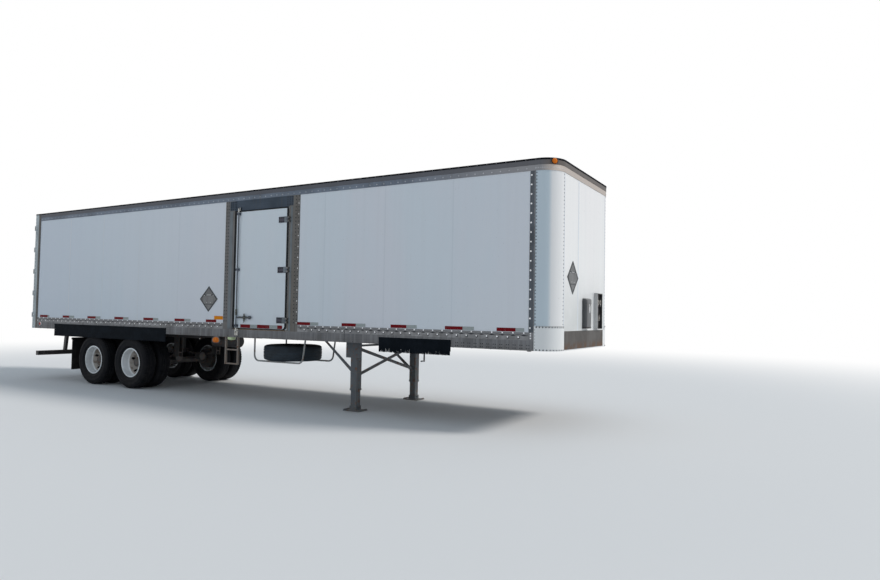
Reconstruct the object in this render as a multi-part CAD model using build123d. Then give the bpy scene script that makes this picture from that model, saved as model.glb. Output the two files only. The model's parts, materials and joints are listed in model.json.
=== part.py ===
from build123d import *
from math import cos, radians, sin
import os

os.makedirs("parts", exist_ok=True)

# A box semi trailer with a side door, standing on its landing legs and its tandem axles.
# Millimetres. +X is the towing end, +Y the left side, +Z up. The ground is z = 0.
# The origin is on the ground, under the middle of everything that the trailer carries.

# Body
box_length = 12800.0
box_width = 2590.0
roof_height = 3810.0
rail_bottom = 1148.0
front_corner_radius = 300.0
half = box_width / 2

# What stands proud of the body at its two ends and on both sides
hinge_pin_off = 32.0
hinge_barrel_radius = 14.0
papers_depth = 60.0
lamp_reach = 30.0
mid = (hinge_pin_off + hinge_barrel_radius - papers_depth) / 2
rear = mid - box_length / 2
front = mid + box_length / 2

# Floor and bottom rails
skin = 9.0
rail_step = 3.0
seat = 0.3
bottom_rail_height = 252.0
bottom_band_height = 142.0
rail_flange_width = 70.0
rail_flange = 8.0
beam_height = 110.0
beam_width = 60.0
beam_web = 6.0
beam_pitch = 305.0
floor_thickness = 34.0
flange_top = rail_bottom + rail_flange
beam_top = flange_top + beam_height
floor_top = beam_top + floor_thickness
rail_top = rail_bottom + bottom_rail_height
band_top = rail_bottom + bottom_band_height

# Roof and top rails
roof_edge_height = 10.0
roof_edge_width = 45.0
roof_edge_lip = 15.0
roof_edge_proud = 3.0
roof_sheet = 5.0
bow_height = 45.0
bow_width = 60.0
bow_wall = 5.0
bow_pitch = 610.0
top_rail_height = 155.0
top_band_height = 75.0
ledge_width = 60.0
ledge = 10.0
roof_top = roof_height - roof_edge_height
bow_top = roof_top - roof_sheet
bow_bottom = bow_top - bow_height
wall_top = bow_bottom - ledge
top_rail_bottom = bow_top - top_rail_height

# Walls and front end
panel_thickness = 19.0
panel_gap = 2.0
corner_run = 25.0
corner_strip_width = 79.0
top_rail_front = 444.0
corner_band_height = 340.0
front_band_height = 276.0
scuff_lift = 17.0
scuff_height = 259.0
scuff_thickness = 4.0
scuff_near_inset = 10.0
scuff_far_inset = 111.0
wall_inset = skin + panel_thickness
wall_half = half - front_corner_radius
corner_start = front - front_corner_radius - corner_run
strip_start = corner_start - corner_strip_width

# Rear frame
post_width = 100.0
post_depth = 200.0
post_wall = 6.0
door_recess = 30.0
post_inner = half - post_width
door_face = rear + door_recess

# Rear doors, each leaf with its hinge straps and two lock rods
door_thickness = 40.0
door_gap_side = 6.0
door_gap_middle = 7.0
door_gap_end = 8.0
hinge_pin_inset = 12.0
hinge_plate = 8.0
hinge_plate_off = 17.0
hinge_height = 110.0
hinge_end = 160.0
hinge_pitch = 505.0
strap_length = 260.0
strap_step = 20.0
rod_radius = 13.5
rod_gap = 7.0
rod_end = 105.0
guide_end = 60.0
guide_pitch = 740.0
guide_half_width = 35.0
guide_half_height = 22.0
handle_length = 400.0
handle_half_height = 17.0
handle_thickness = 12.0
handle_rest_half = 29.0
keeper_reach = 30.0
keeper_width = 14.0
keeper_gap = 5.0
keeper_near = 50.0
keeper_far = 110.0
rod_table = (
    # place from the hinge pin, height of the handle, side that the handle points to
    (450.0, 330.0, -1),
    (900.0, 430.0, 1),
)
pin_x = rear - hinge_pin_off
pin_y = half - hinge_pin_inset

# Side door, in the right-hand wall
side_door_place = 215.0
side_door_width = 1330.0
side_post_width = 240.0
side_post_depth = 60.0
side_post_flange = 60.0
side_post_step = 3.0
side_header_height = 187.0
side_header_step = 4.0
side_gap = 10.0
side_pin_off = 18.0
side_pin_gap = 5.0
side_barrel_radius = 8.0
side_barrel_half = 15.0
side_knuckle_end = 45.0
side_hinge_low = 175.0
side_hinge_high = 223.0
side_strap_length = 215.0
side_strap_half = 52.0
side_rod_place = 115.0
side_rod_radius = 11.0
side_rod_gap = 5.0
side_rod_end = 60.0
side_handle_length = 380.0
side_handle_height = 210.0
side_catch_half = 30.0
side_keeper_reach = 24.0
side_door_rear = mid + side_door_place
side_door_front = side_door_rear + side_door_width
side_header_bottom = top_rail_bottom - side_header_height
side_pin_x = side_door_front - side_pin_gap
side_pin_y = -(half + side_pin_off)
side_face = -(half - skin)
side_inner = -(half - side_post_depth)
frame_rear, frame_front = side_door_rear - side_post_width, side_door_front + side_post_width
side_hinge_ends = (floor_top + side_hinge_low, side_header_bottom - side_hinge_high)

# Dual tyres
tyre_radius = 525.0
tyre_width = 279.0
tread_width = 216.0
tread_edge = 34.0
tread_crown = 8.0
belly_height = 118.0
shoulder_drop = 42.0
shoulder_tuck = 8.0
sidewall = 18.0
bead_rise = 2.0
dual_pitch = 343.0
outer_tyre = half - tyre_width / 2
inner_tyre = outer_tyre - dual_pitch

# Disc rims
rim_radius = 286.0
rim_flange_radius = 298.5
rim_width = 210.0
rim_wall = 8.0
rim_offset = 168.0
rim_dish = 45.0
disc_wall = 11.0
disc_foot = 17.6
disc_bore = 110.0
disc_flat_radius = 191.0
hand_hole_radius = 27.0
hand_hole_circle = 222.0
hand_holes = 5
hub_face = outer_tyre - rim_offset
disc_face = hub_face - disc_wall
bead_half = rim_width / 2 - rim_wall - seat

# Hubs with brake drums
stud_circle = 142.9
stud_radius = 11.0
stud_fit = 0.5
nut_radius = 16.0
nut_height = 30.0
studs = 10
hub_flange_radius = 168.5
hub_barrel_radius = 95.0
hub_pilot_taper = 4.0
hub_pilot_length = 40.0
hub_neck = 60.0
cap_radius = 84.0
cap_face_radius = 60.0
cap_reach = 153.0
cap_edge = 15.0
cap_wall = 45.0
drum_radius = 215.0
drum_inner = 185.0
drum_step = 56.0
drum_back = 20.0
drum_width = 250.0
drum_edge = disc_face - drum_step - drum_width

# Axles
axle_spread = 1270.0
rear_overhang = 2380.0
axle_radius = 63.5
axle_brake_gap = 8.0
backing_plate = 10.0
spindle_radius = 35.0
seat_half_length = 60.0
seat_half_width = 45.0
chamber_radius = 82.0
chamber_inboard = 190.0
chamber_near = 150.0
chamber_far = 300.0
bracket_half = 12.0
bracket_low = 20.0
bracket_high = 50.0
axle_rear = rear + rear_overhang
axle_front = axle_rear + axle_spread
axle_middle = (axle_rear + axle_front) / 2
wheel_places = (("rear", axle_rear), ("front", axle_front))

# Leaf springs, rails and hangers over the axles
frame_rail_inboard = 170.5
frame_rail_height = 100.0
frame_rail_rear = 950.0
frame_rail_front = 1250.0
cross_beam_width = 80.0
cross_beam_inset = 10.0
cross_beam_setback = 60.0
spring_half = 490.0
spring_width = 75.0
spring_pad = 22.0
spring_rise = 70.0
leaf_thickness = 13.0
leaf_shares = (0.5, 0.78, 1.0)
hanger_plate = 10.0
hanger_gap = 6.0
hanger_half = 75.0
hanger_drop = 40.0
hanger_out = 20.0
rocker_half = 190.0
rocker_height = 20.0
frame_rail_width = spring_width + 2 * (hanger_gap + hanger_plate)
frame_rail_offset = drum_edge - frame_rail_inboard
frame_rail_bottom = rail_bottom - frame_rail_height
spring_seat = tyre_radius + axle_radius + spring_pad
spring_tip = spring_seat + spring_rise + len(leaf_shares) * leaf_thickness

# Mudflaps and rear guard
flap_gap = 250.0
flap_width = 610.0
flap_thickness = 10.0
flap_lowest = 270.0
flap_highest = 975.0
flap_inset = 20.0
flap_arm = 45.0
flap_arm_depth = 30.0
guard_setback = 170.0
guard_end = 45.0
guard_lowest = 520.0
guard_size = 100.0
guard_post_place = 600.0
guard_post_half = 40.0
guard_post_head = 95.0
guard_post_width = 60.0
flap_x = axle_rear - tyre_radius - flap_gap
guard_x = rear + guard_setback

# Coupling
kingpin_setback = 914.0
kingpin_steps = (
    # radius, depth of the lower end below the plate
    (36.5, 35.0),
    (25.4, 70.0),
    (35.7, 84.0),
)
kingpin_stem = 60.0
coupler_back = 1500.0
coupler_lead = 90.0
coupler_inset = 695.0
kingpin_x = front - kingpin_setback

# Landing gear
leg_reach = 2770.0
leg_inset = 380.0
leg_tube = 130.0
leg_wall = 8.0
leg_lowest = 338.0
leg_plate_lowest = 880.0
leg_plate_half = 160.0
leg_plate = 8.0
foot_length = 320.0
foot_width = 260.0
foot_plate = 14.0
foot_block = 70.0
foot_block_margin = 12.0
brace_lowest = 560.0
brace_highest = 1000.0
brace_width = 55.0
brace_foot = 77.0
brace_thickness = 8.0
brace_run = 650.0
crank_height = 980.0
crank_shift = 30.0
gearbox_half_length = 70.0
gearbox_width = 80.0
gearbox_half_height = 90.0
shaft_radius = 14.0
shaft_lift = 100.0
cross_shaft_radius = 18.0
crank_inset = 60.0
crank_arm = 280.0
crank_grip = 120.0
leg_offset = half - leg_inset
leg_place = mid + leg_reach
leg_face = leg_offset - leg_tube / 2
leg_inner = leg_tube - 2 * (leg_wall + seat)

# Skirts of brush on the bottom rails
skirt_thickness = 10.0
rear_skirt_setback = 930.0
rear_skirt_length = 3850.0
rear_skirt_lowest = 997.0
rear_skirt_highest = 1265.0
front_skirt_gap = 720.0
front_skirt_length = 1290.0
front_skirt_lowest = 1022.0
front_skirt_highest = 1256.0
skirt_table = (
    # rear end, length, lower edge, upper edge
    (rear + rear_skirt_setback, rear_skirt_length, rear_skirt_lowest, rear_skirt_highest),
    (leg_place + front_skirt_gap, front_skirt_length, front_skirt_lowest, front_skirt_highest),
)

# Ladder under the side door
ladder_inset = 50.0
ladder_start = 190.0
ladder_width = 312.0
ladder_bar = 15.0
ladder_depth = 18.0
rung_depth = 14.0
rung_height = 24.0
ladder_rungs = (650.0, 905.0)
ladder_y = -(half - ladder_inset)
ladder_x = side_door_rear - ladder_start
ladder_bars = (ladder_x, ladder_x + ladder_width)

# Spare wheel in its carrier
spare_place = 895.0
spare_inset = 655.0
carrier_bar = 15.0
carrier_lowest = 730.0
carrier_start = 340.0
carrier_length = 1210.0
carrier_lean = 60.0
carrier_bend = 110.0
carrier_plate_length = 200.0
carrier_plate_width = 35.0
carrier_reach = 410.0
spare_x = side_door_rear + spare_place
spare_y = -(half - spare_inset)
spare_z = carrier_lowest + carrier_bar + tyre_width / 2
carrier_x = side_door_rear + carrier_start

# Empty sign holders, the boxes on the front wall, lamps and the air tank
sign_size = 340.0
sign_rim = 20.0
sign_thickness = 6.0
sign_setback = 645.0
side_sign_height = 540.0
front_sign_inset = 375.0
front_sign_height = 890.0
nose_box_inset = 295.0
nose_box_width = 270.0
nose_box_depth = 50.0
nose_box_lift = 135.0
nose_box_height = 575.0
nose_box_wall = 12.0
coupling_radius = 38.0
coupling_reach = 38.0
coupling_thickness = 16.0
coupling_neck = 18.0
coupling_drop = 150.0
coupling_side = 72.0
socket_radius = 45.0
socket_reach = 34.0
socket_lift = 180.0
papers_gap = 320.0
papers_width = 272.0
papers_lift = 155.0
papers_height = 452.0
papers_round = 42.0
corner_lamp_turn = 45.0
corner_lamp_radius = 42.0
corner_lamp_depth = 24.0
side_lamp_setback = 492.0
side_lamp_length = 200.0
side_lamp_height = 85.0
side_lamp_drop = 37.0
side_lamp_width = 40.0
step_lamp_place = 97.0
step_lamp_inset = 90.0
step_lamp_radius = 75.0
step_lamp_height = 60.0
marker_place = 330.0
marker_lift = 105.0
marker_radius = 34.0
marker_depth = 8.0
tail_lamp_insets = (75.0, 505.0)
tail_lamp_lift = 76.0
tail_lamp_radius = 50.0
tail_lamp_depth = 16.0
top_lamp_inset = 65.0
top_lamp_pitch = 180.0
top_lamp_drop = 40.0
top_lamp_radius = 24.0
top_lamp_depth = 14.0
tank_gap = 160.0
tank_length = 700.0
tank_offset = 300.0
tank_radius = 120.0
tank_drop = 140.0
tank_strap_half = 20.0
tank_strap_reach = 70.0
tank_strap_plate = 180.0


def block(x0, x1, y0, y1, z0, z1):
    """A box between two corners."""
    return Pos((x0 + x1) / 2, (y0 + y1) / 2, (z0 + z1) / 2) * Box(abs(x1 - x0), abs(y1 - y0), abs(z1 - z0))


def about(x, y, z, dx, dy, dz):
    """A box given by its middle and its half sizes."""
    return Pos(x, y, z) * Box(2 * dx, 2 * dy, 2 * dz)


def disc_x(x0, x1, y, z, radius):
    """A cylinder along X."""
    return Pos((x0 + x1) / 2, y, z) * Rot(0, 90, 0) * Cylinder(radius, abs(x1 - x0))


def disc_y(x, y0, y1, z, radius):
    """A cylinder along Y."""
    return Pos(x, (y0 + y1) / 2, z) * Rot(90, 0, 0) * Cylinder(radius, abs(y1 - y0))


def disc_z(x, y, z0, z1, radius):
    """A cylinder along Z."""
    return Pos(x, y, (z0 + z1) / 2) * Cylinder(radius, abs(z1 - z0))


def other_side(shape):
    """The same piece on the other side of the trailer's middle plane."""
    return mirror(shape, about=Plane.XZ)


def left_and_right(shape):
    """A piece and its mirror image."""
    return [shape, other_side(shape)]


def joined(shapes):
    """One solid from pieces that meet."""
    shapes = list(shapes)
    result = shapes[0]
    for shape in shapes[1:]:
        result = result + shape
    return result


def along_x(points, x0, x1):
    """A section of (y, z) points drawn out from x0 to x1."""
    face = make_face(Polyline([(x0, y, z) for y, z in points], close=True))
    return extrude(face, amount=x1 - x0, dir=(1, 0, 0))


def along_y(points, y0, y1):
    """A section of (x, z) points drawn out from y0 to y1."""
    face = make_face(Polyline([(x, y0, z) for x, z in points], close=True))
    return extrude(face, amount=y1 - y0, dir=(0, 1, 0))


def turned(profile, x, z):
    """A body of revolution about a line along Y through (x, z), from (radius, y) points."""
    face = make_face(Polyline([(x + r, y, z) for r, y in profile], close=True))
    return revolve(face, axis=Axis((x, 0, z), (0, 1, 0)))


def plan_face(inset, start):
    """The body's plan from start to the front, with its round corners, drawn in by inset."""
    plan = Pos((start + front - inset) / 2, 0) * Rectangle(front - inset - start, 2 * (half - inset))
    return fillet(plan.vertices().group_by(Axis.X)[-1], front_corner_radius - inset)


def plan_ring(outer, inner, start, z0, z1):
    """A band that follows the plan between two insets."""
    ring = plan_face(outer, start) - plan_face(inner, start - roof_edge_width)
    return Pos(0, 0, z0) * extrude(ring, amount=z1 - z0)


def square_tube(x0, x1, y0, y1, z0, z1, wall, axis):
    """A rectangular tube, open at both ends along one axis."""
    dx, dy, dz = {"y": (wall, 0, wall), "z": (wall, wall, 0)}[axis]
    hollow = block(x0 + dx, x1 - dx, y0 + dy, y1 - dy, z0 + dz, z1 - dz)
    return block(x0, x1, y0, y1, z0, z1) - hollow


def spread(first, last, pitch):
    """Places from first to last, evenly spaced at about the pitch."""
    count = max(1, round((last - first) / pitch))
    return [first + (last - first) * i / count for i in range(count + 1)]


def bottom_rail():
    """The left bottom rail: a plain lower band, a set-back upper band and a flange for the floor beams."""
    section = [
        (half, rail_bottom),
        (half, band_top),
        (half - rail_step, band_top),
        (half - rail_step, rail_top),
        (half - skin, rail_top),
        (half - skin, flange_top),
        (half - rail_flange_width, flange_top),
        (half - rail_flange_width, rail_bottom),
    ]
    return along_x(section, rear + post_depth, corner_start - seat)


def right_bottom_rail():
    """The right bottom rail, its upper band cut away for the side door's frame."""
    return other_side(bottom_rail()) - block(frame_rear, frame_front, -half, side_face, band_top, rail_top)


def front_bottom_rail():
    """The band round the foot of the front, lower between the corners, with a flange under the floor."""
    band = plan_ring(0, skin, corner_start, rail_bottom, rail_bottom + corner_band_height)
    notch_low, notch_high = rail_bottom + front_band_height, rail_bottom + corner_band_height
    notch = block(front - skin, front, -wall_half, wall_half, notch_low, notch_high)
    flange = plan_ring(skin, rail_flange_width, corner_start, rail_bottom, flange_top)
    return band - notch + flange


def top_rail():
    """The left top rail: a smooth upper band, a set-back riveted band and the ledge for the roof bows."""
    step = bow_top - top_band_height
    section = [
        (half - rail_step, top_rail_bottom),
        (half - rail_step, step),
        (half, step),
        (half, bow_top),
        (half - skin, bow_top),
        (half - skin, bow_bottom),
        (half - ledge_width, bow_bottom),
        (half - ledge_width, wall_top),
        (half - skin, wall_top),
        (half - skin, top_rail_bottom),
    ]
    return along_x(section, rear + post_depth, front - top_rail_front - seat)


def front_top_rail():
    """The top rail's front part, with its round corners."""
    start = front - top_rail_front
    step = bow_top - top_band_height
    lower = plan_ring(rail_step, skin, start, top_rail_bottom, step)
    upper = plan_ring(0, skin, start, step, bow_top)
    shelf = plan_ring(skin, ledge_width, start, wall_top, bow_bottom)
    return joined([lower, upper, shelf])


def wall_panel(x0, x1):
    """A stretch of the left-hand wall."""
    return block(x0, x1, half - wall_inset, half - skin, floor_top, wall_top)


def corner_strip():
    """The left riveted strip behind the round corner: the wall behind it and its own proud face."""
    face = block(strip_start, corner_start, half - skin, half - rail_step, rail_top, top_rail_bottom)
    return wall_panel(strip_start, corner_start) + face


def front_corner():
    """The left-hand round corner panel."""
    ring = plan_ring(skin, wall_inset, corner_start, floor_top, wall_top)
    return ring & block(corner_start, front, wall_half, half, floor_top, wall_top)


def roof_edge():
    """The dark angle round the roof's edge."""
    flat = plan_ring(-roof_edge_proud, roof_edge_width, rear, roof_top, roof_height)
    lip = plan_ring(-roof_edge_proud, 0, rear, roof_top - roof_edge_lip, roof_top)
    back = block(rear, rear + roof_edge_width, -half, half, roof_top, roof_height)
    return joined([flat, lip, back])


def floor_beam(x):
    """One I beam under the floor, standing on the rails' flanges."""
    reach = half - skin - seat
    x0, x1 = x - beam_width / 2, x + beam_width / 2
    web = block(x - beam_web / 2, x + beam_web / 2, -reach, reach, flange_top, beam_top)
    foot = block(x0, x1, -reach, reach, flange_top, flange_top + beam_web)
    head = block(x0, x1, -reach, reach, beam_top - beam_web, beam_top)
    return joined([web, foot, head])


def roof_bow(x):
    """One roof bow, a channel open below, standing on the rails' ledges."""
    reach = half - skin - seat
    inner = bow_width / 2 - bow_wall
    bow = block(x - bow_width / 2, x + bow_width / 2, -reach, reach, bow_bottom, bow_top)
    return bow - block(x - inner, x + inner, -reach, reach, bow_bottom, bow_top - bow_wall)


def rear_hinges():
    """The hinges' places up the rear posts."""
    return spread(floor_top + hinge_end, top_rail_bottom - hinge_end, hinge_pitch)


def rear_post():
    """The left rear post with its hinge knuckles."""
    pieces = [square_tube(rear, rear + post_depth, post_inner, half, rail_bottom, bow_top, post_wall, "z")]
    lug = hinge_barrel_radius / 2
    for z in rear_hinges():
        for side in (-1, 1):
            z0 = z + side * (hinge_height / 4 + seat)
            z1 = z + side * (hinge_height / 2)
            pieces.append(block(pin_x, rear, pin_y - lug, pin_y + lug, z0, z1))
            pieces.append(disc_z(pin_x, pin_y, z0, z1, hinge_barrel_radius))
    return joined(pieces)


def rear_keepers(z0, z1):
    """The lugs beside each rod's end, on the beam above or below the doors."""
    lugs = []
    x0 = door_face - keeper_reach
    for place, _, _ in rod_table:
        for y in (pin_y - place, place - pin_y):
            for side in (-1, 1):
                near = y + side * (rod_radius + keeper_gap)
                lugs.append(block(x0, door_face, near, near + side * keeper_width, z0, z1))
    return lugs


def rear_beam(z0, z1, keeper_z0, keeper_z1):
    """The beam over or under the rear doors, with its keepers."""
    beam = square_tube(door_face, rear + post_depth, -post_inner, post_inner, z0, z1, post_wall, "y")
    return joined([beam] + rear_keepers(keeper_z0, keeper_z1))


def rear_leaf():
    """The left rear door leaf."""
    y1 = post_inner - door_gap_side
    z0, z1 = floor_top + door_gap_end, top_rail_bottom - door_gap_end
    return block(door_face, door_face + door_thickness, door_gap_middle, y1, z0, z1)


def rear_strap(z):
    """A hinge strap: the barrel on the pin, the plate over the post, the step and the plate on the leaf."""
    plate_x = pin_x + hinge_plate_off
    edge = post_inner - door_gap_side
    z0, z1 = z - hinge_height / 4, z + hinge_height / 4
    neck = hinge_barrel_radius - hinge_plate / 2
    return joined(
        [
            disc_z(pin_x, pin_y, z0, z1, hinge_barrel_radius),
            block(pin_x, plate_x + hinge_plate, pin_y - neck, pin_y + neck, z0, z1),
            block(plate_x, plate_x + hinge_plate, edge - strap_step, pin_y + neck, z0, z1),
            block(plate_x, door_face, edge - strap_step, edge, z0, z1),
            block(door_face - hinge_plate, door_face, edge - strap_length, edge, z0, z1),
        ]
    )


def rear_rod(place, handle_height, points_to):
    """A lock rod with its guides and its handle."""
    y = pin_y - place
    x = door_face - rod_gap - rod_radius
    parts = [disc_z(x, y, floor_top - rod_end, top_rail_bottom + rod_end, rod_radius)]
    for z in spread(floor_top + guide_end, top_rail_bottom - guide_end, guide_pitch):
        y0, y1 = y - guide_half_width, y + guide_half_width
        parts.append(block(x - rod_radius, door_face, y0, y1, z - guide_half_height, z + guide_half_height))
    z = floor_top + handle_height
    t = handle_thickness / 2
    tip = y + points_to * handle_length
    parts.append(block(x - t, x + t, y, tip, z - handle_half_height, z + handle_half_height))
    rest_y = tip - points_to * guide_half_width
    y0, y1 = rest_y - handle_half_height, rest_y + handle_half_height
    parts.append(block(x - t, door_face, y0, y1, z - handle_rest_half, z + handle_rest_half))
    return joined(parts)


def side_post(x0, x1, flange_x0, flange_x1):
    """A post of the side doorway: a plate over the rail, stepped at its flange, and the body behind."""
    plate = block(x0, x1, -half, side_face, band_top, top_rail_bottom)
    step = block(flange_x0, flange_x1, -half, -(half - side_post_step), band_top, top_rail_bottom)
    return plate - step + block(x0, x1, side_face, side_inner, floor_top, top_rail_bottom)


def side_posts():
    """The two posts of the side doorway; the front one carries the hinge knuckles."""
    rear_one = side_post(frame_rear, side_door_rear, frame_rear, frame_rear + side_post_flange)
    front_one = [side_post(side_door_front, frame_front, frame_front - side_post_flange, frame_front)]
    r = side_barrel_radius
    for z in side_hinges:
        for side in (-1, 1):
            z0, z1 = z + side * (side_barrel_half + seat), z + side * side_knuckle_end
            front_one.append(disc_z(side_pin_x, side_pin_y, z0, z1, r))
            front_one.append(block(side_pin_x, side_pin_x + 4 * r, side_pin_y - r, side_pin_y + r, z0, z1))
            front_one.append(block(side_pin_x + 2 * r, side_pin_x + 4 * r, side_pin_y, -half, z0, z1))
    return [rear_one, joined(front_one)]


def side_header():
    """The set-back beam over the side door, its filling behind the top rail, and the rod's keeper."""
    face = -(half - side_header_step)
    beam = block(side_door_rear, side_door_front, face, side_inner, side_header_bottom, top_rail_bottom)
    filling = block(frame_rear, frame_front, side_face, side_inner, top_rail_bottom, wall_top)
    lugs = []
    z0 = side_header_bottom + keeper_gap
    for side in (-1, 1):
        near = rod_x + side * (side_rod_radius + keeper_gap)
        far = near + side * keeper_width
        lugs.append(block(near, far, -half - side_keeper_reach, face, z0, z0 + side_rod_end))
    return joined([beam, filling] + lugs)


def side_leaf():
    """The side door's leaf, flush with the wall panels."""
    x0, x1 = side_door_rear + side_gap, side_door_front - side_gap
    z0, z1 = floor_top + door_gap_end, side_header_bottom - door_gap_end
    return block(x0, x1, side_face, side_face + door_thickness, z0, z1)


def side_strap(z):
    """A hinge strap of the side door, with its barrel."""
    r = side_barrel_radius
    z0, z1 = z - side_barrel_half, z + side_barrel_half
    step_x = side_pin_x - 4 * r
    plate_x0, plate_x1 = step_x + r - side_strap_length, step_x + r
    plate_z0, plate_z1 = z - side_strap_half, z + side_strap_half
    return joined(
        [
            disc_z(side_pin_x, side_pin_y, z0, z1, r),
            block(step_x, side_pin_x, side_pin_y - r, side_pin_y + r, z0, z1),
            block(step_x - r, step_x + r, side_pin_y, side_face, z0, z1),
            block(plate_x0, plate_x1, side_face - hinge_plate, side_face, plate_z0, plate_z1),
        ]
    )


def side_rod():
    """The side door's lock rod with its guides and handle."""
    y = -(half + side_rod_gap + side_rod_radius)
    parts = [disc_z(rod_x, y, floor_top - side_rod_end, side_header_bottom + side_rod_end, side_rod_radius)]
    x0, x1 = rod_x - guide_half_width, rod_x + guide_half_width
    low, high = floor_top + side_rod_end, side_header_bottom - side_rod_end
    for z in (low, (low + high) / 2, high):
        z0, z1 = z - guide_half_height, z + guide_half_height
        parts.append(block(x0, x1, y - side_rod_radius, side_face, z0, z1))
    z = floor_top + side_handle_height
    t = handle_thickness / 2
    tip = rod_x + side_handle_length
    parts.append(block(rod_x, tip, y - t, y + t, z - handle_half_height, z + handle_half_height))
    catch_x0, catch_x1 = tip - 2 * guide_half_width, tip - guide_half_width
    parts.append(block(catch_x0, catch_x1, y - t, side_face, z - side_catch_half, z + side_catch_half))
    return joined(parts)


def tyre(centre):
    """The section of one tyre, open towards its rim."""
    w, t = tyre_width / 2, tread_width / 2
    belly = rim_radius + belly_height
    shoulder = tyre_radius - shoulder_drop
    bead_top = rim_flange_radius + bead_rise
    outer_half = [
        (rim_radius, bead_half),
        (bead_top, bead_half),
        (belly, w),
        (shoulder, w - shoulder_tuck),
        (tyre_radius - tread_crown, t),
        (tyre_radius, t - tread_edge),
    ]
    inner_half = [
        (tyre_radius - 2 * sidewall, t - sidewall),
        (belly - sidewall, w - sidewall),
        (rim_radius, bead_half - sidewall),
    ]
    section = [(r, centre - y) for r, y in outer_half]
    section += [(r, centre + y) for r, y in reversed(outer_half)]
    section += [(r, centre + y) for r, y in reversed(inner_half)]
    return section + [(r, centre - y) for r, y in inner_half]


def stud_places(x, z):
    """The studs' places round a hub."""
    turns = [radians(360 / studs * i) for i in range(studs)]
    return [(x + stud_circle * cos(a), z + stud_circle * sin(a)) for a in turns]


def rim(centre, face, lean, x, z):
    """One disc rim: a barrel with two flanges, and a dished disc with hand holes and stud holes."""
    w = rim_width / 2
    inner = rim_radius - rim_wall
    bead_seat = rim_radius - seat
    barrel = [
        (inner, centre - w),
        (rim_flange_radius, centre - w),
        (rim_flange_radius, centre - w + rim_wall),
        (bead_seat, centre - w + rim_wall),
        (bead_seat, centre + w - rim_wall),
        (rim_flange_radius, centre + w - rim_wall),
        (rim_flange_radius, centre + w),
        (inner, centre + w),
    ]
    root = centre - lean * rim_dish
    disc = [
        (inner + rim_wall / 4, root),
        (inner + rim_wall / 4, root + lean * disc_foot),
        (disc_flat_radius - disc_wall / 2, face + lean * disc_wall),
        (disc_bore, face + lean * disc_wall),
        (disc_bore, face),
        (disc_flat_radius, face),
    ]
    wheel = turned(barrel, x, z) + turned(disc, x, z)
    y0, y1 = face - 2 * rim_dish, face + 2 * rim_dish
    for i in range(hand_holes):
        angle = radians(360 / hand_holes * (i + 0.25))
        hx, hz = x + hand_hole_circle * cos(angle), z + hand_hole_circle * sin(angle)
        wheel = wheel - disc_y(hx, y0, y1, hz, hand_hole_radius)
    for hx, hz in stud_places(x, z):
        wheel = wheel - disc_y(hx, y0, y1, hz, stud_radius + stud_fit)
    return wheel


def rims(x):
    """The pair of rims on the left-hand side, bolted back to back."""
    outer = rim(outer_tyre, hub_face, 1, x, tyre_radius)
    return outer + rim(inner_tyre, hub_face, -1, x, tyre_radius)


def hub(x):
    """The left-hand hub with its brake drum, cap, studs and nuts."""
    bore = spindle_radius + seat
    cap = hub_face + cap_reach
    back = disc_face - drum_step
    profile = [
        (bore, drum_edge),
        (hub_barrel_radius, drum_edge),
        (hub_barrel_radius, back - drum_back),
        (drum_inner, back - drum_back),
        (drum_inner, drum_edge),
        (drum_radius, drum_edge),
        (drum_radius, back),
        (hub_flange_radius, back),
        (hub_flange_radius, disc_face),
        (disc_bore - stud_fit, disc_face),
        (disc_bore - hub_pilot_taper, disc_face + hub_pilot_length),
        (cap_radius, disc_face + hub_neck),
        (cap_radius, cap - cap_edge),
        (cap_face_radius, cap),
        (0, cap),
        (0, cap - cap_wall),
        (bore, cap - cap_wall),
    ]
    pieces = [turned(profile, x, tyre_radius)]
    nut_face = hub_face + disc_wall
    for stud_x, stud_z in stud_places(x, tyre_radius):
        pieces.append(disc_y(stud_x, disc_face, nut_face + nut_height, stud_z, stud_radius))
        pieces.append(disc_y(stud_x, nut_face, nut_face + nut_height, stud_z, nut_radius))
    return joined(pieces)


def axle(x):
    """One axle beam with spindles, spring seats, backing plates and brake chambers."""
    z = tyre_radius
    tube_end = drum_edge - axle_brake_gap
    spindle_end = hub_face + cap_reach - cap_wall - cap_edge
    pieces = [disc_y(x, -tube_end, tube_end, z, axle_radius)]
    for side in (-1, 1):
        pieces.append(disc_y(x, side * tube_end, side * spindle_end, z, spindle_radius))
        pieces.append(disc_y(x, side * (tube_end - backing_plate), side * tube_end, z, drum_radius))
        y = side * frame_rail_offset
        y0, y1 = y - seat_half_width, y + seat_half_width
        pieces.append(block(x - seat_half_length, x + seat_half_length, y0, y1, z, spring_seat - seat))
        y = side * (frame_rail_offset - chamber_inboard)
        x1 = x + (chamber_near + chamber_far) / 2
        pieces.append(block(x, x1, y - bracket_half, y + bracket_half, z + bracket_low, z + bracket_high))
        pieces.append(disc_x(x + chamber_near, x + chamber_far, y, z + chamber_radius, chamber_radius))
    return joined(pieces)


def spring_leaf(x, y, share, index):
    """One spring leaf: a flat bar bent along an arc."""
    reach = spring_half * share
    rise = spring_rise * share**2
    low = spring_seat + index * leaf_thickness
    high = low + leaf_thickness
    bottom = ThreePointArc((x - reach, y, low + rise), (x, y, low), (x + reach, y, low + rise))
    top = ThreePointArc((x + reach, y, high + rise), (x, y, high), (x - reach, y, high + rise))
    face = make_face([bottom, Line(bottom @ 1, top @ 0), top, Line(top @ 1, bottom @ 0)])
    return extrude(face, amount=spring_width / 2, dir=(0, 1, 0), both=True)


def leaf_spring(x, y):
    """A leaf spring, its shorter leaves below."""
    return joined([spring_leaf(x, y, share, index) for index, share in enumerate(leaf_shares)])


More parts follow.
